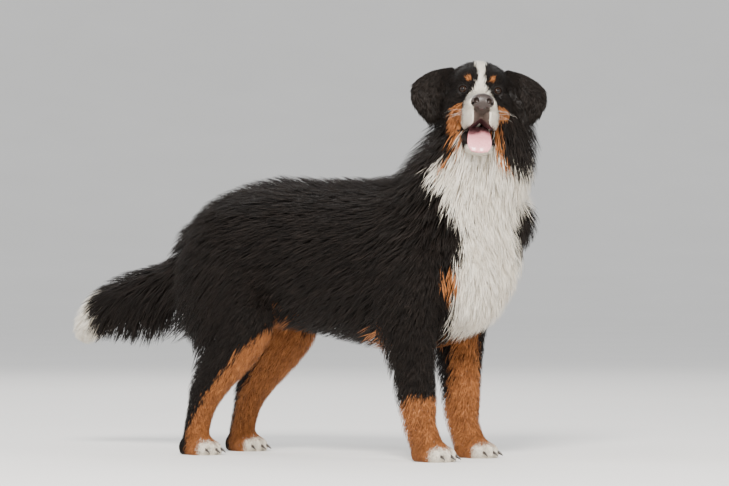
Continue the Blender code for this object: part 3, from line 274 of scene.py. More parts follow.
# The same on the head, in its own frame
HEAD_LIE: Guides = [
    ((0.080, 0.000, -0.018), (-1.00, 0.00, 0.15)),
    ((0.040, 0.000, -0.010), (-1.00, 0.00, 0.20)),
    ((0.000, 0.000, 0.000), (-0.60, 0.00, 0.80)),
    ((-0.020, 0.000, 0.050), (-0.75, 0.00, 0.66)),
    ((-0.080, 0.000, 0.070), (-1.00, 0.00, 0.00)),
    ((-0.060, 0.060, 0.030), (-0.80, 0.30, -0.50)),
    ((0.000, 0.035, 0.022), (-0.50, 0.50, 0.70)),
    ((0.010, 0.035, -0.022), (-0.80, 0.35, -0.50)),
    ((-0.020, 0.060, -0.040), (-0.70, 0.30, -0.65)),
    ((-0.040, 0.060, -0.090), (-0.60, 0.25, -0.76)),
    ((0.050, 0.035, -0.050), (-0.85, 0.10, -0.50)),
    ((0.050, 0.035, -0.085), (-0.70, 0.10, -0.70)),
    ((0.090, 0.012, -0.075), (-0.30, 0.50, -0.80)),
    ((0.050, 0.000, -0.160), (-0.70, 0.00, -0.70)),
    ((0.000, 0.045, -0.130), (-0.80, 0.10, -0.60)),
    ((-0.060, 0.000, -0.130), (-0.50, 0.00, -0.86)),
    ((-0.060, 0.060, 0.060), (-0.10, 0.80, -0.30)),
    ((-0.045, 0.120, 0.015), (0.00, 0.75, -0.66)),
    ((-0.042, 0.135, -0.030), (0.00, -0.30, -0.95)),
    ((-0.040, 0.115, -0.050), (0.00, -0.10, -1.00)),
    ((-0.045, 0.085, 0.000), (0.00, 0.00, -1.00)),
]


def smooth_curve(rows: Rows, steps: int) -> np.ndarray:
    """Reads rows from a Catmull-Rom curve through the given ones.

    Args:
        rows: The rows that the curve passes through.
        steps: How many rows to read between two given ones.

    Returns:
        The rows on the curve, with the last given one at the end.
    """
    points = np.asarray(rows, float)
    before = np.vstack([2 * points[0] - points[1], points, 2 * points[-1] - points[-2]])
    out = []
    for i in range(len(points) - 1):
        a, b, c, d = before[i : i + 4]
        for t in np.arange(steps) / steps:
            out.append(0.5 * (2 * b + (c - a) * t + (2 * a - 5 * b + 4 * c - d) * t**2 + (3 * b - 3 * c + d - a) * t**3))
    out.append(points[-1])
    return np.array(out)


def loft(
    bm: bmesh.types.BMesh,
    stations: Rows,
    share: float,
    up: tuple[float, float, float] = (0, 0, 1),
    steps: int = 4,
    square: float = 2.0,
    place: Matrix | None = None,
    sides: int = RING_SIDES,
) -> None:
    """Adds a closed tube of oval rings with rounded ends.

    Args:
        bm: The mesh that the tube is added to.
        stations: Place, half sizes and coat depths of each ring.
        share: How much of the coat's depth the tube takes in.
        up: The direction that the rings' tops face.
        steps: Rings between two stations.
        square: 2 for ovals, more for squarer rings.
        place: The frame that the stations are given in.
        sides: Points of a ring.
    """
    rows = smooth_curve(stations, steps)
    tangents = np.gradient(rows[:, :3], axis=0)
    tangents /= np.linalg.norm(tangents, axis=1)[:, None]
    for end, sign in ((0, -1), (len(rows) - 1, 1)):
        over = share * rows[end][6] + 0.25 * rows[end][3]
        for along, scale in ((0.6, 0.78), (1.0, 0.42)):
            extra = rows[end].copy()
            extra[3:] *= scale
            extra[:3] += tangents[end] * sign * over * along
            at = 0 if sign < 0 else len(rows)
            rows = np.insert(rows, at, extra, axis=0)
            tangents = np.insert(tangents, at, tangents[end], axis=0)
            end = end + 1 if sign < 0 else end
    rings = []
    for row, ahead in zip(rows, tangents):
        tangent = Vector(ahead)
        side = Vector(up).cross(tangent).normalized()
        top = tangent.cross(side)
        width, rise, fall = (row[3 + k] + share * row[6 + k] for k in range(3))
        ring = []
        for k in range(sides):
            c, s = cos(2 * pi * k / sides), sin(2 * pi * k / sides)
            c = np.sign(c) * abs(c) ** (2 / square)
            s = np.sign(s) * abs(s) ** (2 / square)
            point = Vector(row[:3]) + side * (c * width) + top * (s * (rise if s > 0 else fall))
            ring.append(bm.verts.new(place @ point if place else point))
        rings.append(ring)
    for a, b in zip(rings, rings[1:]):
        for k in range(sides):
            j = (k + 1) % sides
            bm.faces.new((a[k], a[j], b[j], b[k]))
    bm.faces.new(rings[0][::-1])
    bm.faces.new(rings[-1])


def ball(
    bm: bmesh.types.BMesh,
    centre: tuple[float, ...] | Vector,
    radii: tuple[float, ...] | list[float],
    turn: float = 0.0,
    place: Matrix | None = None,
    fine: int = 28,
) -> None:
    """Adds an egg-shaped mass.

    Args:
        bm: The mesh that it is added to.
        centre: Its middle.
        radii: Its half sizes.
        turn: Its turn about the upright axis, in degrees.
        place: The frame that it is given in.
        fine: Points round it.
    """
    matrix = Matrix.Translation(centre) @ Matrix.Rotation(radians(turn), 4, "Z") @ Matrix.Diagonal((*radii, 1.0))
    if place:
        matrix = place @ matrix
    bmesh.ops.create_uvsphere(bm, u_segments=fine, v_segments=fine // 2 + 1, radius=1.0, matrix=matrix)


def mirrored(rows: Rows, side: int) -> Rows:
    """The same rows on the left, side 1, or on the right, side -1."""
    return [(row[0], side * row[1], *row[2:]) for row in rows]


def head_frame() -> Matrix:
    """The head's frame: it starts midway between the eyes, with x ahead and z up."""
    turn = Euler((radians(HEAD_ROLL), radians(-HEAD_PITCH), radians(HEAD_YAW))).to_matrix().to_4x4()
    return Matrix.Translation(HEAD_PLACE) @ turn


def in_head(places: np.ndarray) -> np.ndarray:
    """Places of the dog's frame in the head's own frame."""
    inverse = np.array(head_frame().inverted())
    return places @ inverse[:3, :3].T + inverse[:3, 3]


def object_of(bm: bmesh.types.BMesh, name: str) -> bpy.types.Object:
    """Makes a mesh object of a bmesh and links it to the scene."""
    bmesh.ops.recalc_face_normals(bm, faces=bm.faces)
    mesh = bpy.data.meshes.new(name)
    bm.to_mesh(mesh)
    bm.free()
    obj = bpy.data.objects.new(name, mesh)
    bpy.context.scene.collection.objects.link(obj)
    return obj


def applied(obj: bpy.types.Object, *modifiers: tuple[str, dict]) -> bpy.types.Object:
    """Adds modifiers, each a kind and its settings, and applies them all."""
    for kind, settings in modifiers:
        added = obj.modifiers.new(kind.lower(), kind)
        for key, value in settings.items():
            setattr(added, key, value)
    graph = bpy.context.evaluated_depsgraph_get()
    graph.update()
    mesh = bpy.data.meshes.new_from_object(obj.evaluated_get(graph))
    obj.modifiers.clear()
    obj.data = mesh
    return obj


def cut_or_join(obj: bpy.types.Object, other: bpy.types.Object, operation: str) -> None:
    """Cuts an object by another or unites them, and removes the other."""
    applied(obj, ("BOOLEAN", {"object": other, "operation": operation, "solver": "EXACT"}))
    bpy.data.objects.remove(other)


def moved(obj: bpy.types.Object, shift: Vector) -> bpy.types.Object:
    """Moves an object's vertices and shades it smooth."""
    obj.data.transform(Matrix.Translation(shift))
    obj.data.shade_smooth()
    return obj


def unit(vectors: np.ndarray) -> np.ndarray:
    """Scales rows of vectors to length 1."""
    return vectors / np.maximum(np.linalg.norm(vectors, axis=1), 1e-9)[:, None]


def ripple(points: np.ndarray, scale: float, seed: int) -> np.ndarray:
    """Smooth noise between about -1 and 1 from a few crossed waves.

    Args:
        points: Places, one a row.
        scale: Length of the longest wave.
        seed: Chooses the waves.

    Returns:
        One value a place.
    """
    draw = np.random.default_rng(seed)
    total = np.zeros(len(points))
    for octave in range(3):
        for _ in range(4):
            wave = unit(draw.normal(size=(1, 3)))[0] * 2 * pi * 1.9**octave / scale
            total += np.sin(points @ wave + draw.uniform(0, 2 * pi)) * 0.5**octave
    return total / 3.2


class Hue(Enum):
    """The coat's three colours."""

    BLACK = 0
    RUST = 1
    WHITE = 2


class Surface:
    """A mesh held as arrays, with lookups of its nearest point."""

    def __init__(self, obj: bpy.types.Object, inner: float = 0.02) -> None:
        """Reads an object's mesh; a place farther off than the inner depth counts as outside."""
        self.inner = inner
        mesh = obj.data
        mesh.calc_loop_triangles()
        self.points = np.empty(len(mesh.vertices) * 3)
        mesh.vertices.foreach_get("co", self.points)
        self.points = self.points.reshape(-1, 3)
        self.faces = np.empty(len(mesh.loop_triangles) * 3, int)
        mesh.loop_triangles.foreach_get("vertices", self.faces)
        self.faces = self.faces.reshape(-1, 3)
        a, b, c = (self.points[self.faces[:, k]] for k in range(3))
        cross = np.cross(b - a, c - a)
        self.areas = np.linalg.norm(cross, axis=1) / 2
        self.middles = (a + b + c) / 3
        self.face_normals = unit(cross)
        normals = np.zeros_like(self.points)
        for k in range(3):
            np.add.at(normals, self.faces[:, k], cross)
        self.normals = unit(normals)
        self.tree = BVHTree.FromPolygons(self.points.tolist(), self.faces.tolist())

    def nearest(self, places: np.ndarray) -> tuple[np.ndarray, np.ndarray, np.ndarray]:
        """Finds the nearest surface point of each place.

        Args:
            places: Places, one a row.

        Returns:
            The nearest points, their faces' indices, and the distance, below zero inside.
        """
        found, faces = np.empty_like(places), np.empty(len(places), int)
        for i, place in enumerate(places.tolist()):
            point, _, index, _ = self.tree.find_nearest(place)
            found[i], faces[i] = point, index
        away = places - found
        side = np.sign(np.einsum("ij,ij->i", away, self.face_normals[faces]))
        far = np.linalg.norm(away, axis=1)
        return found, faces, np.where(far > self.inner, far, far * side)

    def holds(self, places: np.ndarray) -> np.ndarray:
        """Whether each place is inside, from how often a ray leaves the surface."""
        way = Vector((0.31, 0.17, 0.93)).normalized()
        out = np.zeros(len(places), bool)
        for i, place in enumerate(places.tolist()):
            start, count = Vector(place), 0
            while count < 40:
                hit = self.tree.ray_cast(start, way)[0]
                if hit is None:
                    break
                start, count = hit + way * 1e-5, count + 1
            out[i] = count % 2 == 1
        return out


@dataclass
class Body:
    """The dog's masses, taken in at any share of the coat's depth."""

    trunk: Rows = field(default_factory=lambda: TRUNK)
    neck: Rows = field(default_factory=lambda: NECK)
    tail: Rows = field(default_factory=lambda: TAIL)
    foreleg: Rows = field(default_factory=lambda: FORELEG)
    hindleg: tuple[Rows, Rows] = field(default_factory=lambda: (THIGH, SHANK))
    toes: Rows = field(default_factory=lambda: TOES)
    skin_voxel: float = 0.0045
    coat_voxel: float = 0.006
    thinning: float = 0.45

    def paw(self, bm: bmesh.types.BMesh, stations: Rows, side: int, share: float) -> None:
        """Adds the pad and the toes at the end of a leg."""
        x, y = stations[-1][0] + 0.006, side * stations[-1][1]
        ball(bm, (x, y, 0.018), (0.048, 0.037 + share * 0.004, 0.034 + share * 0.003))
        for ahead, aside, length, width, height in self.toes:
            radii = (length, width + share * 0.002, height + share * 0.002)
            ball(bm, (x + ahead - 0.012, y + aside, 0.012), radii, turn=200.0 * aside)

    def forms(self, share: float) -> bmesh.types.BMesh:
        """Adds all masses of the body, which overlap one another.

        Args:
            share: 0 for the skin, 1 for the coat's tips.

        Returns:
            The mesh of all masses.
        """
        bm = bmesh.new()
        loft(bm, self.trunk, share, square=2.3)
        loft(bm, self.neck, share, up=(-0.3, 0, 1.0))
        for centre, radii, coat in RUFF:
            ball(bm, centre, [r + coat * share for r in radii])
        for centre, radii in FEATHERS if share else []:
            ball(bm, centre, radii)
        loft(bm, self.tail, share)
        for side in (1, -1):
            loft(bm, mirrored(self.foreleg, side), share, up=(1, 0, 0))
            self.paw(bm, self.foreleg, side, share)
            for part in self.hindleg:
                loft(bm, mirrored(part, side), share, up=(1, 0, 0))
            self.paw(bm, self.hindleg[1], side, share)
        return bm

    def surface(self, name: str, share: float) -> bpy.types.Object:
        """One closed surface over all masses at a share of the coat's depth."""
        voxel = self.coat_voxel if share else self.skin_voxel
        obj = object_of(self.forms(share), name)
        flat = ("REMESH", {"mode": "VOXEL", "voxel_size": voxel})
        applied(obj, flat, ("SMOOTH", {"factor": 0.5, "iterations": 4}), ("DECIMATE", {"ratio": self.thinning}))
        bm = bmesh.new()
        bm.from_mesh(obj.data)
        for vert in bm.verts:
            vert.co.z = max(vert.co.z, 0.0)
        bm.to_mesh(obj.data)
        bm.free()
        return obj


@dataclass
class Head:
    """The head with its lips, lids and ears."""

    muzzle: Rows = field(default_factory=lambda: MUZZLE)
    jaw: Rows = field(default_factory=lambda: JAW)
    mouth: Rows = field(default_factory=lambda: MOUTH)
    ear: Rows = field(default_factory=lambda: EAR)
    skin_voxel: float = 0.0017
    coat_voxel: float = 0.003
    lid_thickness: float = 0.0022
    eye_opening: tuple[float, float, float] = (0.0114, 0.0106, 0.0086)
    eye_depth: float = 0.005
    eye_turn: float = 18.0
    lid_rim: float = 0.0009

    def forms(self, share: float) -> bmesh.types.BMesh:
        """Adds the head's masses and its ears at a share of the coat's depth."""
        place = head_frame()
        bm = bmesh.new()
        for centre, radii, coat in SKULL:
            ball(bm, centre, [r + coat * share for r in radii], place=place)
        for (x, y, z), radii, coat in SKULL_PAIRS:
            for side in (1, -1):
                ball(bm, (x, side * y, z), [r + coat * share for r in radii], place=place)
        loft(bm, self.muzzle, share, place=place)
        loft(bm, self.jaw, share, place=place)
        for side in (1, -1):
            loft(bm, mirrored(self.ear, side), share, up=(1, 0, 0), place=place)
            (x, y, z), radii = MANE
            if share:
                ball(bm, (x, side * y, z), radii, place=place)
        return bm

    def eye_centre(self, side: int) -> Vector:
        """The middle of an eye in the head's frame."""
        return Vector((-self.eye_depth, side * EYE_SPREAD, 0.0))

    def eye_frame(self, side: int) -> Matrix:
        """The frame of an eye, with x along its own axis of sight."""
        turned = Matrix.Rotation(radians(side * self.eye_turn), 4, "Z")
        return head_frame() @ Matrix.Translation(self.eye_centre(side)) @ turned

    def mouth_hollow(self) -> bpy.types.Object:
        """The hollow of the open mouth, as a closed form."""
        bm = bmesh.new()
        loft(bm, self.mouth, 0.0, steps=4, square=1.05, place=head_frame(), sides=48)
        return object_of(bm, "mouth_hollow")

    def skin(self) -> bpy.types.Object:
        """The head's bare surface with its mouth, eye sockets and lids.

        Returns:
            The closed mesh object, in the dog's frame.
        """
        obj = object_of(self.forms(0.0), "head_skin")
        shape = ("REMESH", {"mode": "VOXEL", "voxel_size": self.skin_voxel})
        applied(obj, shape, ("SMOOTH", {"factor": 0.5, "iterations": 10}))
        cut_or_join(obj, self.mouth_hollow(), "DIFFERENCE")
        applied(obj, shape, ("SMOOTH", {"factor": 0.5, "iterations": 2}))
        lids, sockets = bmesh.new(), bmesh.new()
        for side in (1, -1):
            at = self.eye_frame(side)
            ball(lids, (0, 0, 0), [EYE_RADIUS + self.lid_thickness] * 3, place=at, fine=56)
            ball(sockets, (EYE_RADIUS, 0, 0), self.eye_opening, place=at, fine=56)
        cut_or_join(obj, object_of(lids, "lids"), "UNION")
        cut_or_join(obj, object_of(sockets, "sockets"), "DIFFERENCE")
        return obj

    def envelope(self) -> bpy.types.Object:
        """The surface that the tips of the head's coat reach."""
        obj = object_of(self.forms(1.0), "head_envelope")
        shape = ("REMESH", {"mode": "VOXEL", "voxel_size": self.coat_voxel})
        return applied(obj, shape, ("SMOOTH", {"factor": 0.5, "iterations": 4}))


@dataclass
class Markings:
    """Where the coat is black, rust or white; the skin under it has the same colours."""

    blaze: tuple[tuple[float, ...], tuple[float, ...]] = (
        (-0.060, -0.035, -0.017, -0.006, 0.000, 0.008, 0.021, 0.034, 0.048, 0.062, 0.075),
        (0.0435, 0.0390, 0.0320, 0.0250, 0.0180, 0.0125, 0.0098, 0.0080, 0.0088, 0.0120, 0.0140),
    )
    muzzle_back: tuple[tuple[float, ...], tuple[float, ...]] = ((-0.13, -0.06, -0.02), (0.02, 0.03, 0.0))
    bib_side: tuple[tuple[float, ...], tuple[float, ...]] = (
        (0.25, 0.30, 0.375, 0.495, 0.616, 0.70),
        (0.015, 0.060, 0.120, 0.180, 0.175, 0.165),
    )
    bib_back: tuple[tuple[float, ...], tuple[float, ...]] = (
        (0.25, 0.30, 0.375, 0.495, 0.57, 0.616, 0.66, 0.70),
        (0.385, 0.372, 0.408, 0.430, 0.424, 0.400, 0.380, 0.362),
    )
    hind_front: tuple[tuple[float, ...], tuple[float, ...]] = (
        (0.06, 0.144, 0.19, 0.236, 0.30, 0.345, 0.37),
        (-0.012, 0.010, 0.018, 0.036, 0.068, 0.110, 0.145),
    )
    bib_far: tuple[tuple[float, ...], tuple[float, ...]] = (
        (0.25, 0.30, 0.375, 0.43, 0.50, 0.53, 0.56, 0.59, 0.61, 0.63, 0.66, 0.68, 0.71),
        (0.015, 0.060, 0.110, 0.135, 0.115, 0.065, 0.062, 0.085, 0.130, 0.158, 0.160, 0.125, 0.085),
    )
    throat: tuple[tuple[float, ...], tuple[float, ...]] = ((0.66, 0.70, 0.74, 0.80), (0.090, 0.062, 0.048, 0.036))
    leg_front: tuple[tuple[float, ...], tuple[float, ...]] = ((0.150, 0.187, 0.235, 0.283, 0.33), (0.30, 0.55, 0.88, 1.20, 1.35))
    bib_top: float = 0.706
    tail_tip: float = -0.638
    stocking: float = 0.150
    toe_white: float = 0.034

    def on_head(self, places: np.ndarray) -> np.ndarray:
        """Finds the coat's colour on the head.

        Args:
            places: Places in the head's frame.

        Returns:
            The value of a hue for each place.
        """
        edge = ripple(places, 0.02, 3) * 0.0012
        x, y, z = places.T
        side = np.abs(y) + edge
        hue = np.full(len(places), Hue.BLACK.value)
        for centre, radii in (
            ((0.0, 0.0285, 0.0275), (0.040, 0.0075, 0.0072)),
            ((0.0, 0.0560, -0.074), (0.055, 0.0200, 0.034)),
            ((-0.020, 0.0580, -0.122), (0.055, 0.0200, 0.044)),
        ):
            spot = sum(((p - c) / r) ** 2 for p, c, r in zip((x, side, z), centre, radii))
            hue[spot < 1] = Hue.RUST.value
        muzzle = (z > -0.017) | (x > np.interp(z, *self.muzzle_back))
        hue[(side < np.interp(z, *self.blaze)) & (x > -0.095) & (z > -0.13) & muzzle] = Hue.WHITE.value
        chin = (z <= -0.118) & (x > -0.03)
        hue[chin & (side < 0.034)] = Hue.WHITE.value
        hue[(z < -0.105) & (x <= 0.0) & (side < 0.045)] = Hue.WHITE.value
        hue[(np.abs(side - 0.034) < 0.010) & (z < -0.099) & (z > -0.136) & (x > -0.06)] = Hue.BLACK.value
        return hue

    def on_body(self, places: np.ndarray) -> np.ndarray:
        """Finds the coat's colour on the neck, trunk, legs and tail.

        Args:
            places: Places in the dog's frame.

        Returns:
            The value of a hue for each place.
        """
        wide = ripple(places, 0.09, 5) * 0.010
        fine = ripple(places, 0.03, 6) * 0.004
        x, y, z = places.T
        side = np.abs(y)
        edge = wide + fine
        hue = np.full(len(places), Hue.BLACK.value)
        fore = (x > 0.20) & (z < 0.36) & (side > 0.035)
        outward = (side - np.interp(z, (0.05, 0.30), (0.106, 0.124))) / 0.035
        forward = (x - np.interp(z, (0.05, 0.13, 0.28), (0.336, 0.322, 0.306))) / 0.040
        facing = -0.75 * outward + 0.65 * forward
        shown = facing + fine * 30 > np.interp(z, *self.leg_front)
        shown = np.where(y < 0, (outward < -0.75) & (forward < 0.15), shown)
        hue[fore & ((z + edge < self.stocking) | (shown & (z < 0.33)))] = Hue.RUST.value
        hind = (x < -0.06) & (z < 0.45) & (side > 0.02)
        middle = np.interp(z, (0.06, 0.105, 0.148, 0.185, 0.235, 0.30, 0.37), (-0.300, -0.289, -0.272, -0.243, -0.208, -0.170, -0.150))
        inner = np.interp(z, (0.05, 0.25, 0.40), (0.103, 0.100, 0.085)) - side
        ahead = x - middle
        front = np.interp(z, *self.hind_front)
        hue[hind & (z < 0.37) & ((ahead + edge * 0.6 > front) | ((inner + edge > 0.008) & (ahead > -0.022)))] = Hue.RUST.value
        hue[hind & (z >= 0.30) & (z < 0.43) & (inner + edge > 0.012) & (ahead > -0.02)] = Hue.RUST.value
        elbow = ((x - 0.205) / 0.032) ** 2 + ((side - 0.125) / 0.035) ** 2 + ((z - 0.285) / 0.030) ** 2
        hue[elbow + edge * 20 < 1] = Hue.RUST.value
        aside = np.where(y > 0, np.interp(z, *self.bib_far), np.interp(z, *self.bib_side))
        bib = (x + edge > np.interp(z, *self.bib_back)) & (side + edge < aside)
        hue[bib & (z > 0.255) & (z < self.bib_top + edge * 2)] = Hue.WHITE.value
        patch = ((x - 0.424) / 0.026) ** 2 + ((side - 0.149) / 0.030) ** 2 + ((z - 0.410) / 0.060) ** 2
        hue[patch + edge * 15 < 1] = Hue.RUST.value
        local = in_head(places)
        beside = np.abs(local[:, 1]) + edge - np.interp(z, *self.throat)
        throat = (local[:, 0] > -0.07) & (z > 0.66)
        hue[throat & (beside < 0.014) & (z > 0.705)] = Hue.RUST.value
        hue[throat & (beside < 0)] = Hue.WHITE.value
        hue[x - edge < self.tail_tip] = Hue.WHITE.value
        toe = ((x > -0.272) & (x < 0) | (x > 0.366)) & (z < self.toe_white + fine)
        hue[toe] = Hue.WHITE.value
        return hue


@dataclass
class Flow:
    """The lie of the coat: directions read between guides set over the whole dog."""

    head_guides: Guides = field(default_factory=lambda: HEAD_LIE)
    body_guides: list = field(default_factory=lambda: LIE)
    reach: float = 0.02

    def guides(self) -> tuple[np.ndarray, np.ndarray, np.ndarray]:
        """All guides on both sides.

        Returns:
            Their places, directions and whether each one is on the head.
        """
        place = head_frame()
        places, ways, heads = [], [], []
        for side in (1, -1):
            for at, way in self.head_guides:
                places.append(place @ Vector((at[0], side * at[1], at[2])))
                ways.append(place.to_3x3() @ Vector((way[0], side * way[1], way[2])))
                heads.append(True)
            for row in self.body_guides:
                at, way = row[0], row[1]
                places.append(Vector((at[0], side * at[1], at[2])))
                ways.append(Vector((way[0], side * way[1], way[2])))
                heads.append(False)
        return np.array(places), unit(np.array(ways)), np.array(heads)

    def at(self, places: np.ndarray, on_head: bool) -> np.ndarray:
        """Reads the direction of the coat.

        Args:
            places: Places, one a row.
            on_head: Whether they are read from the head's guides alone.

        Returns:
            A unit direction a place.
        """
        where, ways, heads = self.guides()
        keep = heads if on_head else ~heads | (where[:, 2] < 0)
        where, ways = where[keep], ways[keep]
        soft = (0.4 if on_head else 1.0) * self.reach
        out = np.empty_like(places)
        for start in range(0, len(places), 8192):
            part = places[start : start + 8192]
            far = ((part[:, None, :] - where[None]) ** 2).sum(axis=2)
            weight = (far + soft**2) ** -2.0
            out[start : start + 8192] = (weight[:, :, None] * ways[None]).sum(axis=1)
        return unit(out)


@dataclass
class Coat:
    """The dog's fur: tapered tufts of hair rooted in the skin and laid along the coat's flow."""

    cover_long: float = 2.45
    white_share: float = 2.4
    white_width: float = 0.62
    cover_short: float = 2.0
    cover_under: float = 0.5
    long_from: float = 0.026
    bent_from: float = 0.0150
    least: float = 0.009
    most: float = 0.085
    slim: float = 0.023
    layer: float = 0.55
    proud: float = 0.0015
    wave: float = 0.09
    piece_faces: int = 190000
    quick_share: float = 0.3
    seed: int = 11

    def length(self, deep: np.ndarray) -> np.ndarray:
        """The free length of a tuft where the coat is so deep."""
        return np.clip(1.7 * deep + 0.005, self.least, self.most)

    def width(self, length: np.ndarray) -> np.ndarray:
        """The width of a tuft of a given length."""
        return self.slim * length + 0.0009

    def sown(
        self, envelope: Surface, skin: Surface, white: np.ndarray, draw: np.random.Generator
    ) -> tuple[np.ndarray, np.ndarray]:
        """Scatters places over the surface that the coat's tips reach.

        Args:
            envelope: That surface.
            skin: The bare surface under it.
            white: Which of its faces lie under white coat.
            draw: The random source.

        Returns:
            The places and the outward direction at each.
        """
        deep = np.maximum(skin.nearest(envelope.middles)[2], 0.0)
        length = self.length(deep)
        cover = np.where(length > self.long_from, self.cover_long, self.cover_short)
        if envelope is skin:
            cover = np.full(len(deep), self.cover_under)
        wanted = envelope.areas * cover / (0.6 * length * self.width(length))
        wanted *= np.where(white, self.white_share, 1.0)
        count = np.floor(wanted + draw.random(len(wanted))).astype(int)
        face = np.repeat(np.arange(len(count)), count)
        a, b = draw.random(len(face)), draw.random(len(face))
        fold = a + b > 1
        a[fold], b[fold] = 1 - a[fold], 1 - b[fold]
        share = np.stack([1 - a - b, a, b], axis=1)
        corners = envelope.faces[face]
        places = np.einsum("nk,nkj->nj", share, envelope.points[corners])
        normals = unit(np.einsum("nk,nkj->nj", share, envelope.normals[corners]))
        return places, normals

    def curves(
        self,
        places: np.ndarray,
        normals: np.ndarray,
        ways: np.ndarray,
        skin: Surface,
        longer: np.ndarray,
        draw: np.random.Generator,
    ) -> dict[str, np.ndarray]:
        """Bends a tuft from the skin to the coat's surface at each place.

        Args:
            places: Places on the coat's surface.
            normals: The outward direction at each.
            ways: The coat's direction at each.
            skin: The bare surface.
            longer: Length added at each place.
            draw: The random source.

        Returns:
            Roots, middles and tips of the curves, with their lengths, outward directions and random values.
        """
        count = len(places)
        deep = np.maximum(skin.nearest(places)[2], 0.0005)
        length = (self.length(deep) + longer) * draw.uniform(0.75, 1.2, count)
        ways = unit(ways + draw.normal(scale=0.10, size=(count, 3)))
        out = np.einsum("ij,ij->i", ways, normals)
        flat = unit(ways - normals * out[:, None])
        under = draw.random(count) ** 1.3 * self.layer
        stray = draw.random(count) < 0.035
        lift = np.where(stray, draw.uniform(0.03, 0.07, count), draw.uniform(0.0, 0.02, count))
        sunk = normals * (under * deep)[:, None]
        tips = places + flat * (0.38 * length)[:, None]
        tips += normals * (length * (np.maximum(out, 0) * 0.25 + lift * (under < 0.2)))[:, None] - sunk
        base = places - flat * (0.62 * length)[:, None] - sunk
        roots = skin.nearest(base)[0]
        middles = roots + (base - roots) * (0.8 * (1 - 0.5 * under))[:, None] + flat * (0.42 * length)[:, None]
        aside = np.cross(normals, flat) * (length * draw.normal(scale=self.wave, size=count))[:, None]
        middles += aside
        return {
            "roots": roots,
            "middles": middles,
            "tips": tips,
            "length": length,
            "normals": normals,
            "under": under,
            "stray": stray,
            "longer": longer,
            "random": draw.random(count),
        }

    def clumped(self, tufts: dict[str, np.ndarray], draw: np.random.Generator) -> None:
        """Pulls the tips of neighbouring tufts together into locks.

        Args:
            tufts: The curves, whose tips and middles change.
            draw: The random source.
        """
        tips, length = tufts["tips"], tufts["length"]
        count = len(tips)
        heads = np.flatnonzero(draw.random(count) < 1 / 9)
        tree = KDTree(len(heads))
        for i, index in enumerate(heads.tolist()):
            tree.insert(tips[index], i)
        tree.balance()
        nearest = np.array([tree.find(tip)[1:] for tip in tips.tolist()])
        lead, far = heads[nearest[:, 0].astype(int)], nearest[:, 1]
        turn = draw.normal(scale=0.03, size=(count, 3))[lead] * length[:, None]
        pull = np.where(length > self.long_from, 0.42, 0.2) * draw.uniform(0.5, 1.0, count)
        pull = pull * np.clip(1.4 - far / (0.5 * length), 0, 1)
        change = (tips[lead] - tips) * pull[:, None]
        tufts["tips"] = tips + change + turn
        tufts["middles"] = tufts["middles"] + change * 0.25 + turn * 0.2
        tufts["clump"] = tufts["random"][lead]

    def settled(self, tufts: dict[str, np.ndarray], skin: Surface, envelope: Surface) -> None:
        """Keeps tips out of the skin, near the coat's surface and above the floor.

        Args:
            tufts: The curves, whose points change.
            skin: The bare surface.
            envelope: The surface that the coat's tips reach.
        """
        found, faces, away = envelope.nearest(tufts["tips"])
        most = self.proud + 0.05 * tufts["length"] * tufts["random"] ** 2 + 0.06 * tufts["length"] * tufts["stray"]
        most += 0.8 * tufts["longer"] * tufts["random"]
        high = away > most
        tufts["tips"][high] = (found + envelope.face_normals[faces] * most[:, None])[high]
        found, faces, away = skin.nearest(tufts["tips"])
        low = away < 0.0012
        tufts["tips"][low] = found[low] + skin.face_normals[faces[low]] * 0.0012
        for key in ("tips", "middles", "roots"):
            tufts[key][:, 2] = np.maximum(tufts[key][:, 2], 0.0012)

    def rings(self, length: np.ndarray) -> np.ndarray:
        """How many rings of points the blades of tufts have."""
        return 1 + (length > self.bent_from).astype(int) + (length > self.long_from)

    def blades(self, tufts: dict[str, np.ndarray], rings: int) -> tuple[np.ndarray, np.ndarray, np.ndarray]:
        """Makes the thin closed blades of the tufts.

        Args:
            tufts: The curves.
            rings: How many rings of points each gets before its tip.

        Returns:
            Points (tuft, point, 3), the faces of one tuft, and how far along each point is.
        """
        stations = ((0.0,), (0.0, 0.5), (0.0, 0.36, 0.72))[rings - 1]
        widths = ((1.15,), (0.6, 1.0), (0.55, 1.0, 0.72))[rings - 1]
        a, b, c = tufts["roots"], tufts["middles"], tufts["tips"]
        wide = self.width(tufts["length"]) * np.where(tufts["hue"] == Hue.WHITE.value, self.white_width, 1.0) * 0.5
        points, along = [], []
        for t, share in zip(stations, widths):
            centre = a * (1 - t) ** 2 + b * (2 * t * (1 - t)) + c * t**2
            ahead = unit((b - a) * (1 - t) + (c - b) * t)
            side = unit(np.cross(ahead, tufts["normals"]))
            over = unit(np.cross(side, ahead))
            half = (wide * share)[:, None]
            points += [centre - side * half, centre + side * half, centre + over * half * 0.45]
            along += [t] * 3
        points.append(c)
        along.append(1.0)
        faces = [(0, 1, 2)]
        for ring in range(len(stations) - 1):
            for k in range(3):
                p, q = ring * 3 + k, ring * 3 + (k + 1) % 3
                faces += [(p, p + 3, q), (q, p + 3, q + 3)]
        last = (len(stations) - 1) * 3
        faces += [(last + k, last + 3, last + (k + 1) % 3) for k in range(3)]
        return np.stack(points, axis=1), np.array(faces), np.array(along)

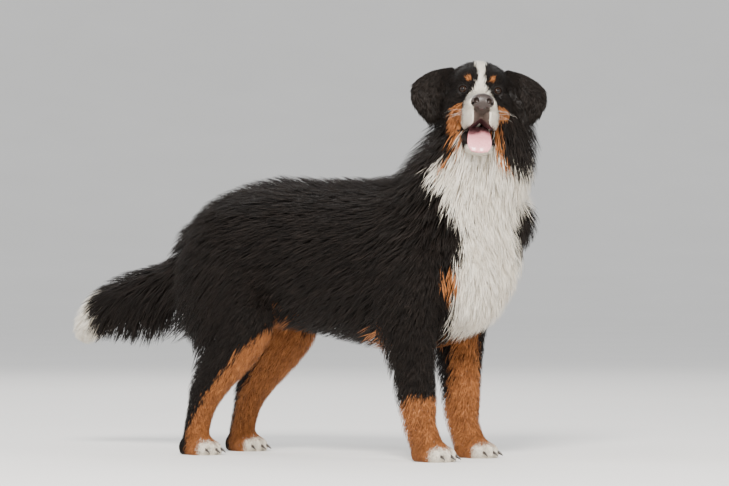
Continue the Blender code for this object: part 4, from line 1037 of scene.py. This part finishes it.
    def piece(
        self, name: str, tufts: dict[str, np.ndarray], rings: int, patches: np.ndarray, shift: Vector
    ) -> bpy.types.Object:
        """Makes one mesh of many tufts, with its colour values and its map.

        Args:
            name: The piece's name.
            tufts: The curves.
            rings: How many rings of points each blade gets.
            patches: The place of each root on the skin's map.
            shift: From the dog's frame to the model's.

        Returns:
            The mesh object.
        """
        points, faces, along = self.blades(tufts, rings)
        count, per, _ = points.shape
        corners = (faces[None] + per * np.arange(count)[:, None, None]).reshape(-1)
        mesh = bpy.data.meshes.new(name)
        mesh.vertices.add(count * per)
        mesh.vertices.foreach_set("co", (points.reshape(-1, 3) + np.array(shift)).ravel())
        mesh.loops.add(len(corners))
        mesh.loops.foreach_set("vertex_index", corners.astype(np.int32))
        mesh.polygons.add(len(corners) // 3)
        mesh.polygons.foreach_set("loop_start", np.arange(0, len(corners), 3, dtype=np.int32))
        mesh.update(calc_edges=True)
        strand = np.empty((count, per, 3), np.float32)
        strand[:, :, 0] = tufts["random"][:, None]
        strand[:, :, 1] = along[None]
        strand[:, :, 2] = tufts["clump"][:, None]
        mesh.attributes.new("strand", "FLOAT_VECTOR", "POINT").data.foreach_set("vector", strand.ravel())
        spot = np.zeros((count, per, 2), np.float32)
        spot[:, :, 0] = patches[:, None, 0] + np.resize((-0.0015, 0.0015, 0.0), per)
        spot[:, :, 1] = patches[:, None, 1] + (along[None] - 0.5) * 0.003
        layer = mesh.uv_layers.new(name="OFBake")
        layer.data.foreach_set("uv", spot.reshape(-1, 2)[corners].ravel())
        mesh.shade_smooth()
        obj = bpy.data.objects.new(name, mesh)
        bpy.context.scene.collection.objects.link(obj)
        return obj


@dataclass(frozen=True)
class Finish:
    """A moist or dry surface finish with noise in its colour and a fine bump."""

    name: str
    dark: tuple[float, float, float]
    light: tuple[float, float, float]
    roughness: float
    grain: float = 300.0
    bump: float = 0.0004
    wet: float = 0.0
    specular: float = 0.5
    cells: bool = False

    def start(self) -> tuple[bpy.types.Material, bpy.types.NodeTree, bpy.types.Node]:
        """Makes the material with its principled shader.

        Returns:
            The material, its node tree and the shader node.
        """
        made = bpy.data.materials.new(self.name)
        made.use_nodes = True
        tree = made.node_tree
        shader = tree.nodes["Principled BSDF"]
        shader.inputs["Roughness"].default_value = self.roughness
        shader.inputs["Specular IOR Level"].default_value = self.specular
        shader.inputs["Coat Weight"].default_value = self.wet
        shader.inputs["Coat Roughness"].default_value = 0.12
        made.diffuse_color = (*self.light, 1.0)
        return made, tree, shader

    def bumped(self, tree: bpy.types.NodeTree, shader: bpy.types.Node) -> bpy.types.NodeSocket:
        """Adds the grain's bump and returns the grain's value."""
        place = tree.nodes.new("ShaderNodeTexCoord")
        kind = "ShaderNodeTexVoronoi" if self.cells else "ShaderNodeTexNoise"
        grain = tree.nodes.new(kind)
        grain.inputs["Scale"].default_value = self.grain
        tree.links.new(place.outputs["Object"], grain.inputs["Vector"])
        height = grain.outputs["Distance" if self.cells else "Fac"]
        bump = tree.nodes.new("ShaderNodeBump")
        bump.inputs["Strength"].default_value = 0.6
        bump.inputs["Distance"].default_value = self.bump
        tree.links.new(height, bump.inputs["Height"])
        tree.links.new(bump.outputs["Normal"], shader.inputs["Normal"])
        return height

    def make(self) -> bpy.types.Material:
        """The finished material."""
        made, tree, shader = self.start()
        self.bumped(tree, shader)
        place = tree.nodes.new("ShaderNodeTexCoord")
        cloud = tree.nodes.new("ShaderNodeTexNoise")
        cloud.inputs["Scale"].default_value = self.grain / 6
        cloud.inputs["Detail"].default_value = 4.0
        tree.links.new(place.outputs["Object"], cloud.inputs["Vector"])
        mix = tree.nodes.new("ShaderNodeMix")
        mix.data_type = "RGBA"
        mix.inputs[6].default_value = (*self.dark, 1.0)
        mix.inputs[7].default_value = (*self.light, 1.0)
        tree.links.new(cloud.outputs["Fac"], mix.inputs[0])
        tree.links.new(mix.outputs[2], shader.inputs["Base Color"])
        return made


@dataclass(frozen=True)
class HairFinish(Finish):
    """Hair: each tuft has a tone of its own, and its tip is lighter than its root."""

    def make(self) -> bpy.types.Material:
        """The finished material."""
        made, tree, shader = self.start()
        tone = tree.nodes.new("ShaderNodeGroup")
        tone.node_tree = hair_tone()
        tone.inputs["Dark"].default_value = (*self.dark, 1.0)
        tone.inputs["Light"].default_value = (*self.light, 1.0)
        tree.links.new(tone.outputs["Color"], shader.inputs["Base Color"])
        return made


@dataclass(frozen=True)
class SkinFinish(Finish):
    """Skin: its colour is that of the coat above it, and short hair shows as a fine bump."""

    def make(self) -> bpy.types.Material:
        """The finished material."""
        made, tree, shader = self.start()
        height = self.bumped(tree, shader)
        marks = tree.nodes.new("ShaderNodeAttribute")
        marks.attribute_name = "marks"
        shade = tree.nodes.new("ShaderNodeMapRange")
        shade.inputs["To Min"].default_value = 0.6
        shade.inputs["To Max"].default_value = 1.1
        scale = tree.nodes.new("ShaderNodeVectorMath")
        scale.operation = "SCALE"
        tree.links.new(height, shade.inputs["Value"])
        tree.links.new(marks.outputs["Vector"], scale.inputs[0])
        tree.links.new(shade.outputs["Result"], scale.inputs["Scale"])
        tree.links.new(scale.outputs["Vector"], shader.inputs["Base Color"])
        return made


@dataclass(frozen=True)
class EyeFinish(Finish):
    """The eye: pupil, streaked iris, dark rim and the white, from the distance to its axis."""

    pupil: float = 0.27
    iris: float = 0.70
    radius: float = EYE_RADIUS

    def make(self) -> bpy.types.Material:
        """The finished material."""
        made, tree, shader = self.start()
        new, link = tree.nodes.new, tree.links.new
        place = new("ShaderNodeTexCoord")
        across = new("ShaderNodeVectorMath")
        across.operation = "MULTIPLY"
        across.inputs[1].default_value = (0.0, 1 / self.radius, 1 / self.radius)
        away = new("ShaderNodeVectorMath")
        away.operation = "LENGTH"
        streak = new("ShaderNodeTexNoise")
        streak.inputs["Scale"].default_value = 9.0
        streak.inputs["Detail"].default_value = 6.0
        blur = new("ShaderNodeMath")
        blur.operation = "MULTIPLY_ADD"
        blur.inputs[1].default_value = 0.05
        ramp = new("ShaderNodeValToRGB")
        stops = (
            (0.0, (0.002, 0.002, 0.002)),
            (self.pupil, (0.003, 0.002, 0.002)),
            (self.pupil + 0.04, self.dark),
            (self.iris - 0.12, self.light),
            (self.iris, self.dark),
            (self.iris + 0.06, (0.010, 0.006, 0.005)),
            (self.iris + 0.16, (0.020, 0.012, 0.009)),
        )
        elements = ramp.color_ramp.elements
        for i, (at, colour) in enumerate(stops):
            element = elements[i] if i < 2 else elements.new(at)
            element.position = at
            element.color = (*colour, 1.0)
        link(place.outputs["Object"], across.inputs[0])
        link(across.outputs["Vector"], away.inputs[0])
        link(across.outputs["Vector"], streak.inputs["Vector"])
        link(streak.outputs["Fac"], blur.inputs[0])
        link(away.outputs["Value"], blur.inputs[2])
        link(blur.outputs["Value"], ramp.inputs["Fac"])
        link(ramp.outputs["Color"], shader.inputs["Base Color"])
        return made


def hair_tone() -> bpy.types.NodeTree:
    """The node group that tones each tuft, made once.

    Returns:
        The group, with a dark and a light colour in and a colour out.
    """
    found = bpy.data.node_groups.get("hair_tone")
    if found:
        return found
    group = bpy.data.node_groups.new("hair_tone", "ShaderNodeTree")
    for name in ("Dark", "Light"):
        group.interface.new_socket(name, in_out="INPUT", socket_type="NodeSocketColor")
    group.interface.new_socket("Color", in_out="OUTPUT", socket_type="NodeSocketColor")
    new, link = group.nodes.new, group.links.new
    ends, out = new("NodeGroupInput"), new("NodeGroupOutput")
    strand = new("ShaderNodeAttribute")
    strand.attribute_name = "strand"
    parts = new("ShaderNodeSeparateXYZ")
    link(strand.outputs["Vector"], parts.inputs[0])
    value = None
    for output, weight in (("X", 0.38), ("Y", 0.34), ("Z", 0.38)):
        step = new("ShaderNodeMath")
        step.operation = "MULTIPLY_ADD"
        step.inputs[1].default_value = weight
        step.inputs[2].default_value = 0.0
        link(parts.outputs[output], step.inputs[0])
        if value:
            link(value, step.inputs[2])
        value = step.outputs["Value"]
    curve = new("ShaderNodeMath")
    curve.operation = "POWER"
    curve.inputs[1].default_value = 1.4
    curve.use_clamp = True
    link(value, curve.inputs[0])
    mix = new("ShaderNodeMix")
    mix.data_type = "RGBA"
    link(curve.outputs["Value"], mix.inputs[0])
    link(ends.outputs["Dark"], mix.inputs[6])
    link(ends.outputs["Light"], mix.inputs[7])
    link(mix.outputs[2], out.inputs["Color"])
    return group


COAT_FINISHES = {
    Hue.BLACK: HairFinish("black_coat", (0.0045, 0.0034, 0.0028), (0.019, 0.0138, 0.0110), 0.52, specular=0.13),
    Hue.RUST: HairFinish("rust_coat", (0.16, 0.050, 0.013), (0.53, 0.200, 0.060), 0.55, specular=0.25),
    Hue.WHITE: HairFinish("white_coat", (0.82, 0.73, 0.59), (0.97, 0.92, 0.82), 0.6, specular=0.25),
}
SKIN_COLOURS = {Hue.BLACK: (0.008, 0.006, 0.005), Hue.RUST: (0.32, 0.12, 0.035), Hue.WHITE: (0.76, 0.69, 0.58)}
LIP_COLOUR = (0.014, 0.010, 0.009)
PATCH_COLOUR = (0.056, 0.038, 0.030)
MOUTH_COLOUR = (0.022, 0.007, 0.007)
SKIN_FINISH = SkinFinish("skin_under_coat", (0, 0, 0), (0.05, 0.04, 0.04), 0.6, grain=900.0, bump=0.0003, specular=0.2)
NOSE_FINISH = Finish("pebbled_nose", (0.012, 0.0070, 0.0055), (0.038, 0.0225, 0.0170), 0.40, 1100.0, 0.0004, 0.05, cells=True)
RIM_FINISH = Finish("lid_skin", (0.004, 0.003, 0.003), (0.010, 0.0075, 0.0065), 0.5, 900.0, 0.0002, specular=0.04)
TONGUE_FINISH = Finish("wet_tongue", (0.62, 0.20, 0.22), (0.86, 0.40, 0.42), 0.38, 1300.0, 0.0003, 0.35)
CLAW_FINISH = Finish("dark_horn", (0.018, 0.013, 0.011), (0.065, 0.050, 0.040), 0.32, 500.0, 0.0001)
WHISKER_FINISH = Finish("pale_whisker", (0.50, 0.46, 0.40), (0.75, 0.71, 0.64), 0.4, 400.0, 0.0)
EYE_FINISH = EyeFinish("brown_eye", (0.005, 0.0024, 0.0015), (0.019, 0.0082, 0.0036), 0.03, specular=0.24)
FLOOR_FINISH = Finish("pale_floor", (0.76, 0.74, 0.71), (0.82, 0.80, 0.77), 0.75, 6.0, 0.0005, specular=0.2)


def dressed(obj: bpy.types.Object, finish: Finish) -> bpy.types.Object:
    """Gives a piece its finish and the body that it rides on."""
    obj.data.materials.clear()
    obj.data.materials.append(finish.make())
    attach(obj, "root")
    log.info("%s: %d faces", obj.name, len(obj.data.polygons))
    return obj


@dataclass
class Face:
    """The pieces set in the head: eyes, the rims of the lids, the nose and the tongue."""

    head: Head
    shift: Vector
    cornea: float = 0.0008
    groove: float = 0.0014

    def eye(self, side: int) -> bpy.types.Object:
        """An eyeball, a little raised over the iris, with its own frame."""
        bm = bmesh.new()
        turned = Matrix.Rotation(pi / 2, 4, "Y")
        bmesh.ops.create_uvsphere(bm, u_segments=64, v_segments=40, radius=EYE_RADIUS, matrix=turned)
        for vert in bm.verts:
            away = Vector((0, vert.co.y, vert.co.z)).length / EYE_RADIUS
            if vert.co.x > 0:
                vert.co.x += self.cornea * max(0.0, 1 - (away / 0.62) ** 2)
        obj = object_of(bm, "eyeball_left" if side > 0 else "eyeball_right")
        obj.data.shade_smooth()
        obj.matrix_world = Matrix.Translation(self.shift) @ self.head.eye_frame(side)
        return obj

    def rims(self) -> bpy.types.Object:
        """The dark rims of the lids, a thin roll round each opening."""
        bm = bmesh.new()
        wide, high = self.head.eye_opening[1:]
        radius = EYE_RADIUS + self.head.lid_thickness * 0.55
        for side in (1, -1):
            at = self.head.eye_frame(side)
            rings = []
            for k in range(40):
                a = 2 * pi * k / 40
                y, z = wide * cos(a), high * sin(a)
                centre = Vector(((radius**2 - y * y - z * z) ** 0.5, y, z))
                out, around = centre.normalized(), Vector((0, -wide * sin(a), high * cos(a))).normalized()
                across = out.cross(around).normalized()
                thick = self.head.lid_rim * (1.0 + 0.5 * abs(cos(a)) ** 6)
                ring = [
                    bm.verts.new(at @ (centre + (out * cos(b) + across * sin(b)) * thick))
                    for b in (2 * pi * j / 8 for j in range(8))
                ]
                rings.append(ring)
            for a, b in zip(rings, rings[1:] + rings[:1]):
                for j in range(8):
                    bm.faces.new((a[j], a[(j + 1) % 8], b[(j + 1) % 8], b[j]))
        return moved(object_of(bm, "lid_rims"), self.shift)

    def nose(self) -> bpy.types.Object:
        """The nose leather with its nostrils, side slits and middle groove, in the dog's frame."""
        place = head_frame()
        bm = bmesh.new()
        for centre, radii in NOSE:
            for side in (1, -1):
                ball(bm, (centre[0], side * centre[1], centre[2]), radii, place=place, fine=40)
        obj = object_of(bm, "nose_leather")
        shape = ("REMESH", {"mode": "VOXEL", "voxel_size": 0.0008})
        applied(obj, shape, ("SMOOTH", {"factor": 0.5, "iterations": 6}))
        holes = bmesh.new()
        for (x, y, z), radii, turn in NOSTRILS:
            for side in (1, -1):
                ball(holes, (x, side * y, z), radii, turn=side * turn[2], place=place, fine=32)
        ball(holes, (0.1135, 0.0, -0.052), (0.003, 0.0007, 0.014), place=place)
        cut_or_join(obj, object_of(holes, "nostrils"), "DIFFERENCE")
        applied(obj, ("REMESH", {"mode": "VOXEL", "voxel_size": 0.0006}), ("SMOOTH", {"factor": 0.5, "iterations": 3}))
        return obj

    def tongue(self) -> bpy.types.Object:
        """The tongue, with a groove along its middle, in the dog's frame."""
        bm = bmesh.new()
        loft(bm, TONGUE, 0.0, up=(1, 0, 0.6), steps=8, square=2.4, sides=48)
        lift = Vector((1, 0, 0.6)).normalized()
        bm.normal_update()
        for vert in bm.verts:
            if vert.normal.dot(lift) > 0.3:
                vert.co -= lift * self.groove * float(np.exp(-((vert.co.y / 0.0045) ** 2)))
        bmesh.ops.transform(bm, matrix=head_frame(), verts=bm.verts)
        return object_of(bm, "soft_tongue")


@dataclass
class Whiskers:
    """Fine stiff hairs on the sides of the muzzle."""

    thick: float = 0.00017
    seed: int = 23
    spots: Rows = field(
        default_factory=lambda: [
            (0.062, 0.036, -0.058, 0.050),
            (0.052, 0.039, -0.066, 0.056),
            (0.066, 0.034, -0.070, 0.044),
            (0.044, 0.041, -0.056, 0.050),
            (0.056, 0.037, -0.078, 0.040),
        ]
    )

    def make(self) -> bpy.types.Object:
        """All whiskers in one mesh, in the dog's frame."""
        bm = bmesh.new()
        draw = np.random.default_rng(self.seed)
        place = head_frame()
        for x, y, z, length in self.spots:
            for side in (1, -1):
                way = Vector((0.15, 0.9 * side, 0.1 - 2.0 * (z + 0.06))) + Vector(draw.normal(scale=0.15, size=3))
                way.normalize()
                rows = []
                for t, share in ((0.0, 1.0), (0.35, 0.8), (0.7, 0.5), (1.0, 0.12)):
                    bend = Vector((-0.35, 0, -0.30)) * length * t * t
                    at = Vector((x, side * y * 0.93, z)) + way * length * t + bend
                    rows.append((*at, share * self.thick, share * self.thick, share * self.thick, 0, 0, 0))
                loft(bm, rows, 0.0, up=(1, 0, 0.3), steps=3, place=place, sides=6)
        return object_of(bm, "whiskers")


@dataclass
class Claws:
    """The claws of the four paws, curved down from each toe."""

    length: float = 0.017
    thick: float = 0.0040
    drop: float = 0.009

    def make(self) -> bpy.types.Object:
        """All sixteen claws in one mesh."""
        bm = bmesh.new()
        for stations in (FORELEG, SHANK):
            for side in (1, -1):
                x, y = stations[-1][0] + 0.006, side * stations[-1][1]
                for ahead, aside, length, _, _ in TOES:
                    start = Vector((x + ahead - 0.012 + length * 0.80, y + aside * 1.05, 0.0145))
                    way = Vector((1.0, aside * 6, 0.0)).normalized()
                    rows = []
                    for t, thick in ((0.0, 1.0), (0.4, 0.85), (0.75, 0.55), (1.0, 0.2)):
                        at = start + way * self.length * t - Vector((0, 0, self.drop * t * t))
                        rows.append((*at, thick * self.thick * 0.75, thick * self.thick, thick * self.thick, 0, 0, 0))
                    loft(bm, rows, 0.0, steps=3, sides=12)
        return object_of(bm, "claws")


@dataclass
class Dog:
    """The whole animal: skin, face, claws and coat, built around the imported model's places."""

    shift: Vector
    body: Body = field(default_factory=Body)
    head: Head = field(default_factory=Head)
    coat: Coat = field(default_factory=Coat)
    markings: Markings = field(default_factory=Markings)
    flow: Flow = field(default_factory=Flow)
    upper_lip: float = 0.0022
    lower_lip: float = 0.0170
    under_nose: float = 0.0185
    ear_fringe: float = 0.028
    mixing: tuple[float, float] = (0.0045, 0.0021)

    def lip_reach(self, places: np.ndarray) -> np.ndarray:
        """How far from the mouth's hollow the bare lip goes at each place."""
        x, y, z = in_head(places).T
        middle = np.interp(x, (-0.014, 0.04, 0.12), (-0.088, -0.107, -0.116))
        corner = (np.abs(y) > 0.017) & (z > -0.152)
        reach = np.where(z < middle - 0.004, np.where(corner, self.lower_lip, 0.004), self.upper_lip)
        under_nose = (np.abs(y) < self.under_nose) & (z < -0.052) & (z > -0.100) & (x > 0.060)
        return np.where(under_nose, 0.030, reach)

    def skin(self, body: Surface, head: Surface, hollow: Surface) -> bpy.types.Object:
        """Joins the bare surfaces of body and head and colours them as the coat above them.

        Args:
            body: The body's surface.
            head: The head's surface.
            hollow: The mouth's hollow.

        Returns:
            The skin piece.
        """
        points = np.vstack([body.points, head.points])
        clear = hollow.nearest(body.points)[2] > 0.002
        kept = body.faces[clear[body.faces].all(axis=1)]
        faces = np.vstack([kept, head.faces + len(body.points)])
        mesh = bpy.data.meshes.new("skin")
        mesh.from_pydata(points.tolist(), [], faces.tolist())
        on_body = self.markings.on_body(body.points)
        on_head = self.markings.on_head(in_head(head.points))
        colours = np.array([SKIN_COLOURS[Hue(k)] for k in range(3)])[np.concatenate([on_body, on_head])]
        x, y, z = in_head(body.points).T
        behind_mouth = (np.abs(x + 0.03) < 0.05) & (np.abs(y) < 0.045) & (np.abs(z + 0.085) < 0.035)
        colours[: len(body.points)][behind_mouth] = MOUTH_COLOUR
        lips = np.abs(hollow.nearest(head.points)[2])
        reach = self.lip_reach(head.points)
        head_colours = colours[len(body.points) :]
        x, y, z = in_head(head.points).T
        head_colours[lips < reach] = LIP_COLOUR
        head_colours[(lips < reach) & (reach > self.lower_lip)] = PATCH_COLOUR
        head_colours[(lips < 0.0032) & (x < 0.070)] = MOUTH_COLOUR
        mesh.attributes.new("marks", "FLOAT_VECTOR", "POINT").data.foreach_set("vector", colours.astype(np.float32).ravel())
        obj = bpy.data.objects.new("skin", mesh)
        bpy.context.scene.collection.objects.link(obj)
        return obj

    def unwrapped(self, skin: bpy.types.Object) -> tuple[Surface, np.ndarray]:
        """Lays a thinned copy of the skin out flat.

        Args:
            skin: The skin piece.

        Returns:
            The copy's surface and the map place of each corner of its faces.
        """
        thin = bpy.data.objects.new("skin_map", skin.data.copy())
        bpy.context.scene.collection.objects.link(thin)
        applied(thin, ("DECIMATE", {"ratio": 0.05}), ("TRIANGULATE", {}))
        bpy.context.view_layer.objects.active = thin
        bpy.ops.object.select_all(action="DESELECT")
        thin.select_set(True)
        thin.data.uv_layers.new(name="OFBake")
        bpy.ops.object.mode_set(mode="EDIT")
        bpy.ops.mesh.select_all(action="SELECT")
        bpy.ops.uv.smart_project(angle_limit=radians(66), island_margin=0.004)
        bpy.ops.object.mode_set(mode="OBJECT")
        spots = np.empty(len(thin.data.loops) * 2)
        thin.data.uv_layers["OFBake"].data.foreach_get("uv", spots)
        surface = Surface(thin)
        bpy.data.objects.remove(thin)
        return surface, spots.reshape(-1, 3, 2)

    def patches(self, roots: np.ndarray, flat: tuple[Surface, np.ndarray]) -> np.ndarray:
        """The map place of each tuft's root."""
        surface, spots = flat
        found, faces, _ = surface.nearest(roots)
        corners = surface.points[surface.faces[faces]]
        far = np.linalg.norm(corners - found[:, None], axis=2) + 1e-6
        share = (1 / far) / (1 / far).sum(axis=1, keepdims=True)
        return np.clip(np.einsum("nk,nkj->nj", share, spots[faces]), 0.002, 0.998)

    def tufts(
        self,
        places: np.ndarray,
        normals: np.ndarray,
        skin: Surface,
        envelope: Surface,
        on_head: bool,
        draw: np.random.Generator,
    ) -> dict[str, np.ndarray]:
        """Grows the tufts at places on the coat's surface and gives each its colour."""
        longer = np.zeros(len(places))
        if on_head:
            local = in_head(places)
            ears = np.clip((np.abs(local[:, 1]) - 0.088) / 0.02, 0, 1)
            longer = self.ear_fringe * ears * np.interp(local[:, 2], (-0.02, 0.04), (1.0, 0.7))
            crowded = [np.linalg.norm(local - np.array(self.head.eye_centre(side)), axis=1) for side in (1, -1)]
            longer -= 0.004 * np.clip(1.6 - np.minimum(*crowded) / 0.014, 0, 1)
        grown = self.coat.curves(places, normals, self.flow.at(places, on_head), skin, longer, draw)
        self.coat.clumped(grown, draw)
        self.coat.settled(grown, skin, envelope)
        above = (0.55 * places + 0.45 * grown["roots"]) if not on_head else places
        mixed = above + draw.normal(scale=self.mixing[on_head], size=places.shape)
        grown["hue"] = self.hues(mixed, on_head)
        return grown

    def hues(self, places: np.ndarray, on_head: bool) -> np.ndarray:
        """The coat's colour at places on the head or on the body."""
        return self.markings.on_head(in_head(places)) if on_head else self.markings.on_body(places)

    def bare(self, tufts: dict[str, np.ndarray], hollow: Surface, nose: Surface, tongue: Surface) -> np.ndarray:
        """Marks the tufts that would lie on lips, eyes, nose or tongue."""
        drop = np.zeros(len(tufts["roots"]), bool)
        for key in ("roots", "middles", "tips"):
            at = tufts[key]
            reach = self.lip_reach(at) if key == "roots" else 0.0008
            drop |= hollow.nearest(at)[2] < reach
            drop |= nose.nearest(at)[2] < 0.0006
            drop |= tongue.nearest(at)[2] < 0.0010
            for side in (1, -1):
                inverse = np.array(self.head.eye_frame(side).inverted())
                local = at @ inverse[:3, :3].T + inverse[:3, 3]
                wide, high = self.head.eye_opening[1:]
                ring = (local[:, 1] / (wide + 0.0020)) ** 2 + (local[:, 2] / (high + 0.0026)) ** 2
                drop |= (ring < 1) & (local[:, 0] > 0) & (local[:, 0] < 0.03)
        return drop

    def grow(self, body: Surface, head: Surface, hollow: Surface, nose: Surface, tongue: Surface) -> list[dict]:
        """Grows all tufts of body and head, each where the other doesn't cover it."""
        draw = np.random.default_rng(self.coat.seed)
        outer = self.body.surface("body_envelope", 1.0)
        outer_head = self.head.envelope()
        body_coat, head_coat = Surface(outer), Surface(outer_head)
        bpy.data.objects.remove(outer)
        bpy.data.objects.remove(outer_head)
        grown = []
        for coat, other, skin, on_head in ((body_coat, head_coat, body, False), (head_coat, body_coat, head, True)):
            white = self.hues(coat.middles, on_head) == Hue.WHITE.value
            places, normals = self.coat.sown(coat, skin, white, draw)
            keep = ~other.holds(places)
            tufts = self.tufts(places[keep], normals[keep], skin, coat, on_head, draw)
            drop = self.bare(tufts, hollow, nose, tongue)
            tufts = {key: value[~drop] for key, value in tufts.items()}
            grown.append(tufts)
        places, normals = self.coat.sown(head, head, np.zeros(len(head.middles), bool), draw)
        tufts = self.tufts(places, normals, head, head_coat, True, draw)
        drop = self.bare(tufts, hollow, nose, tongue) | (tufts["hue"] != Hue.BLACK.value)
        grown.append({key: value[~drop] for key, value in tufts.items()})
        return grown

    def coat_pieces(self, grown: list[dict], flat: tuple[Surface, np.ndarray]) -> None:
        """Splits the tufts by colour and size into pieces and dresses them."""
        for hue in Hue:
            number = 0
            for tufts in grown:
                for rings in (3, 2, 1):
                    mask = (tufts["hue"] == hue.value) & (self.coat.rings(tufts["length"]) == rings)
                    chosen = np.flatnonzero(mask)
                    most = self.coat.piece_faces // (6 * rings - 2)
                    for start in range(0, len(chosen), most):
                        part = chosen[start : start + most]
                        picked = {key: value[part] for key, value in tufts.items()}
                        number += 1
                        spots = self.patches(picked["roots"], flat)
                        name = f"coat_{hue.name.lower()}_{number}"
                        piece = self.coat.piece(name, picked, rings, spots, self.shift)
                        dressed(piece, COAT_FINISHES[hue])

    def build(self) -> None:
        """Builds and dresses every piece of the dog."""
        face = Face(self.head, self.shift)
        body_skin, head_skin = self.body.surface("body_skin", 0.0), self.head.skin()
        hollow = self.head.mouth_hollow()
        nose, tongue = face.nose(), face.tongue()
        surfaces = [Surface(obj) for obj in (body_skin, head_skin, hollow, nose, tongue)]
        for obj in (body_skin, head_skin, hollow):
            bpy.data.objects.remove(obj)
        skin = self.skin(surfaces[0], surfaces[1], surfaces[2])
        flat = self.unwrapped(skin)
        grown = self.grow(*surfaces)
        self.coat_pieces(grown, flat)
        dressed(moved(skin, self.shift), SKIN_FINISH)
        flesh = ["torso", "neck", "tail", "head", "jaw", "ear_left", "ear_right"]
        flesh += [f"{kind}_{word}" for kind in ("foreleg", "hindleg") for word in ("left", "right")]
        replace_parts(skin, *flesh)
        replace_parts(dressed(moved(nose, self.shift), NOSE_FINISH), "nose")
        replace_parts(dressed(moved(tongue, self.shift), TONGUE_FINISH), "tongue")
        dressed(face.rims(), RIM_FINISH)
        dressed(moved(Claws().make(), self.shift), CLAW_FINISH)
        dressed(moved(Whiskers().make(), self.shift), WHISKER_FINISH)
        for side, node in ((1, "eye_left"), (-1, "eye_right")):
            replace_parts(dressed(face.eye(side), EYE_FINISH), node)


@dataclass
class Studio:
    """A pale floor that curves up far away, soft lights and the camera."""

    shift: Vector
    eye: tuple[float, float, float] = (4.0805, -6.8817, 0.420)
    target: tuple[float, float, float] = (0.0805, 0.0465, 0.512)
    lens: float = 163.95
    sky: tuple[float, float, float] = (0.93, 0.96, 1.0)
    sky_strength: float = 1.0

    def floor(self) -> None:
        bm = bmesh.new()
        rows = [(0.0, 0.0), (6.0, 0.0), (14.0, 0.0), (24.0, 0.0), (30.0, 0.8), (36.0, 3.0), (41.0, 7.0), (45.0, 15.0)]
        rings = []
        for radius, height in rows[1:]:
            ring = [(radius * cos(2 * pi * k / 96), radius * sin(2 * pi * k / 96), height) for k in range(96)]
            rings.append([bm.verts.new(p) for p in ring])
        bm.faces.new(rings[0])
        for a, b in zip(rings, rings[1:]):
            for k in range(96):
                bm.faces.new((a[k], a[(k + 1) % 96], b[(k + 1) % 96], b[k]))
        obj = object_of(bm, "studio_floor")
        obj.data.shade_smooth()
        obj.data.materials.append(FLOOR_FINISH.make())

    def light(self, name: str, place: tuple[float, ...], size: float, power: float, warm: tuple[float, ...]) -> None:
        """Adds a soft square light that faces the dog's middle."""
        lamp = bpy.data.lights.new(name, "AREA")
        lamp.shape, lamp.size, lamp.energy, lamp.color = "SQUARE", size, power, warm
        obj = bpy.data.objects.new(name, lamp)
        bpy.context.scene.collection.objects.link(obj)
        obj.location = place
        obj.rotation_euler = (Vector((0.1, 0, 0.5)) - Vector(place)).to_track_quat("-Z", "Y").to_euler()

    def camera(self) -> None:
        """Adds the camera at the photograph's angle."""
        data = bpy.data.cameras.new("camera")
        data.lens, data.sensor_width, data.clip_end = self.lens, 36.0, 100.0
        obj = bpy.data.objects.new("camera", data)
        bpy.context.scene.collection.objects.link(obj)
        obj.location = Vector(self.eye) + self.shift
        obj.rotation_euler = (Vector(self.target) - Vector(self.eye)).to_track_quat("-Z", "Y").to_euler()
        bpy.context.scene.camera = obj

    def build(self) -> None:
        """Builds the whole studio."""
        world = bpy.context.scene.world or bpy.data.worlds.new("studio")
        bpy.context.scene.world = world
        world.use_nodes = True
        sky = world.node_tree.nodes["Background"]
        sky.inputs["Color"].default_value = (*self.sky, 1.0)
        sky.inputs["Strength"].default_value = self.sky_strength
        self.floor()
        self.light("key", (2.6, -5.2, 4.2), 1.7, 980.0, (1.0, 0.97, 0.93))
        self.light("fill", (6.0, -0.5, 2.6), 3.0, 170.0, (1.0, 0.98, 0.95))
        self.light("back", (-3.5, 4.0, 4.5), 3.5, 170.0, (1.0, 0.98, 0.95))
        self.light("side", (-4.5, -3.5, 3.0), 3.0, 140.0, (0.95, 0.97, 1.0))
        self.camera()


def main() -> None:
    """Builds the dog and the studio."""
    logging.basicConfig(level=logging.INFO, format="%(message)s")
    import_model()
    low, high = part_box("eye_left")
    shift = (low + high) / 2 - head_frame() @ Head().eye_centre(1)
    log.info("shift %s", [round(v, 5) for v in shift])
    Dog(shift).build()
    Studio(shift).build()


if __name__ == "__main__":
    main()
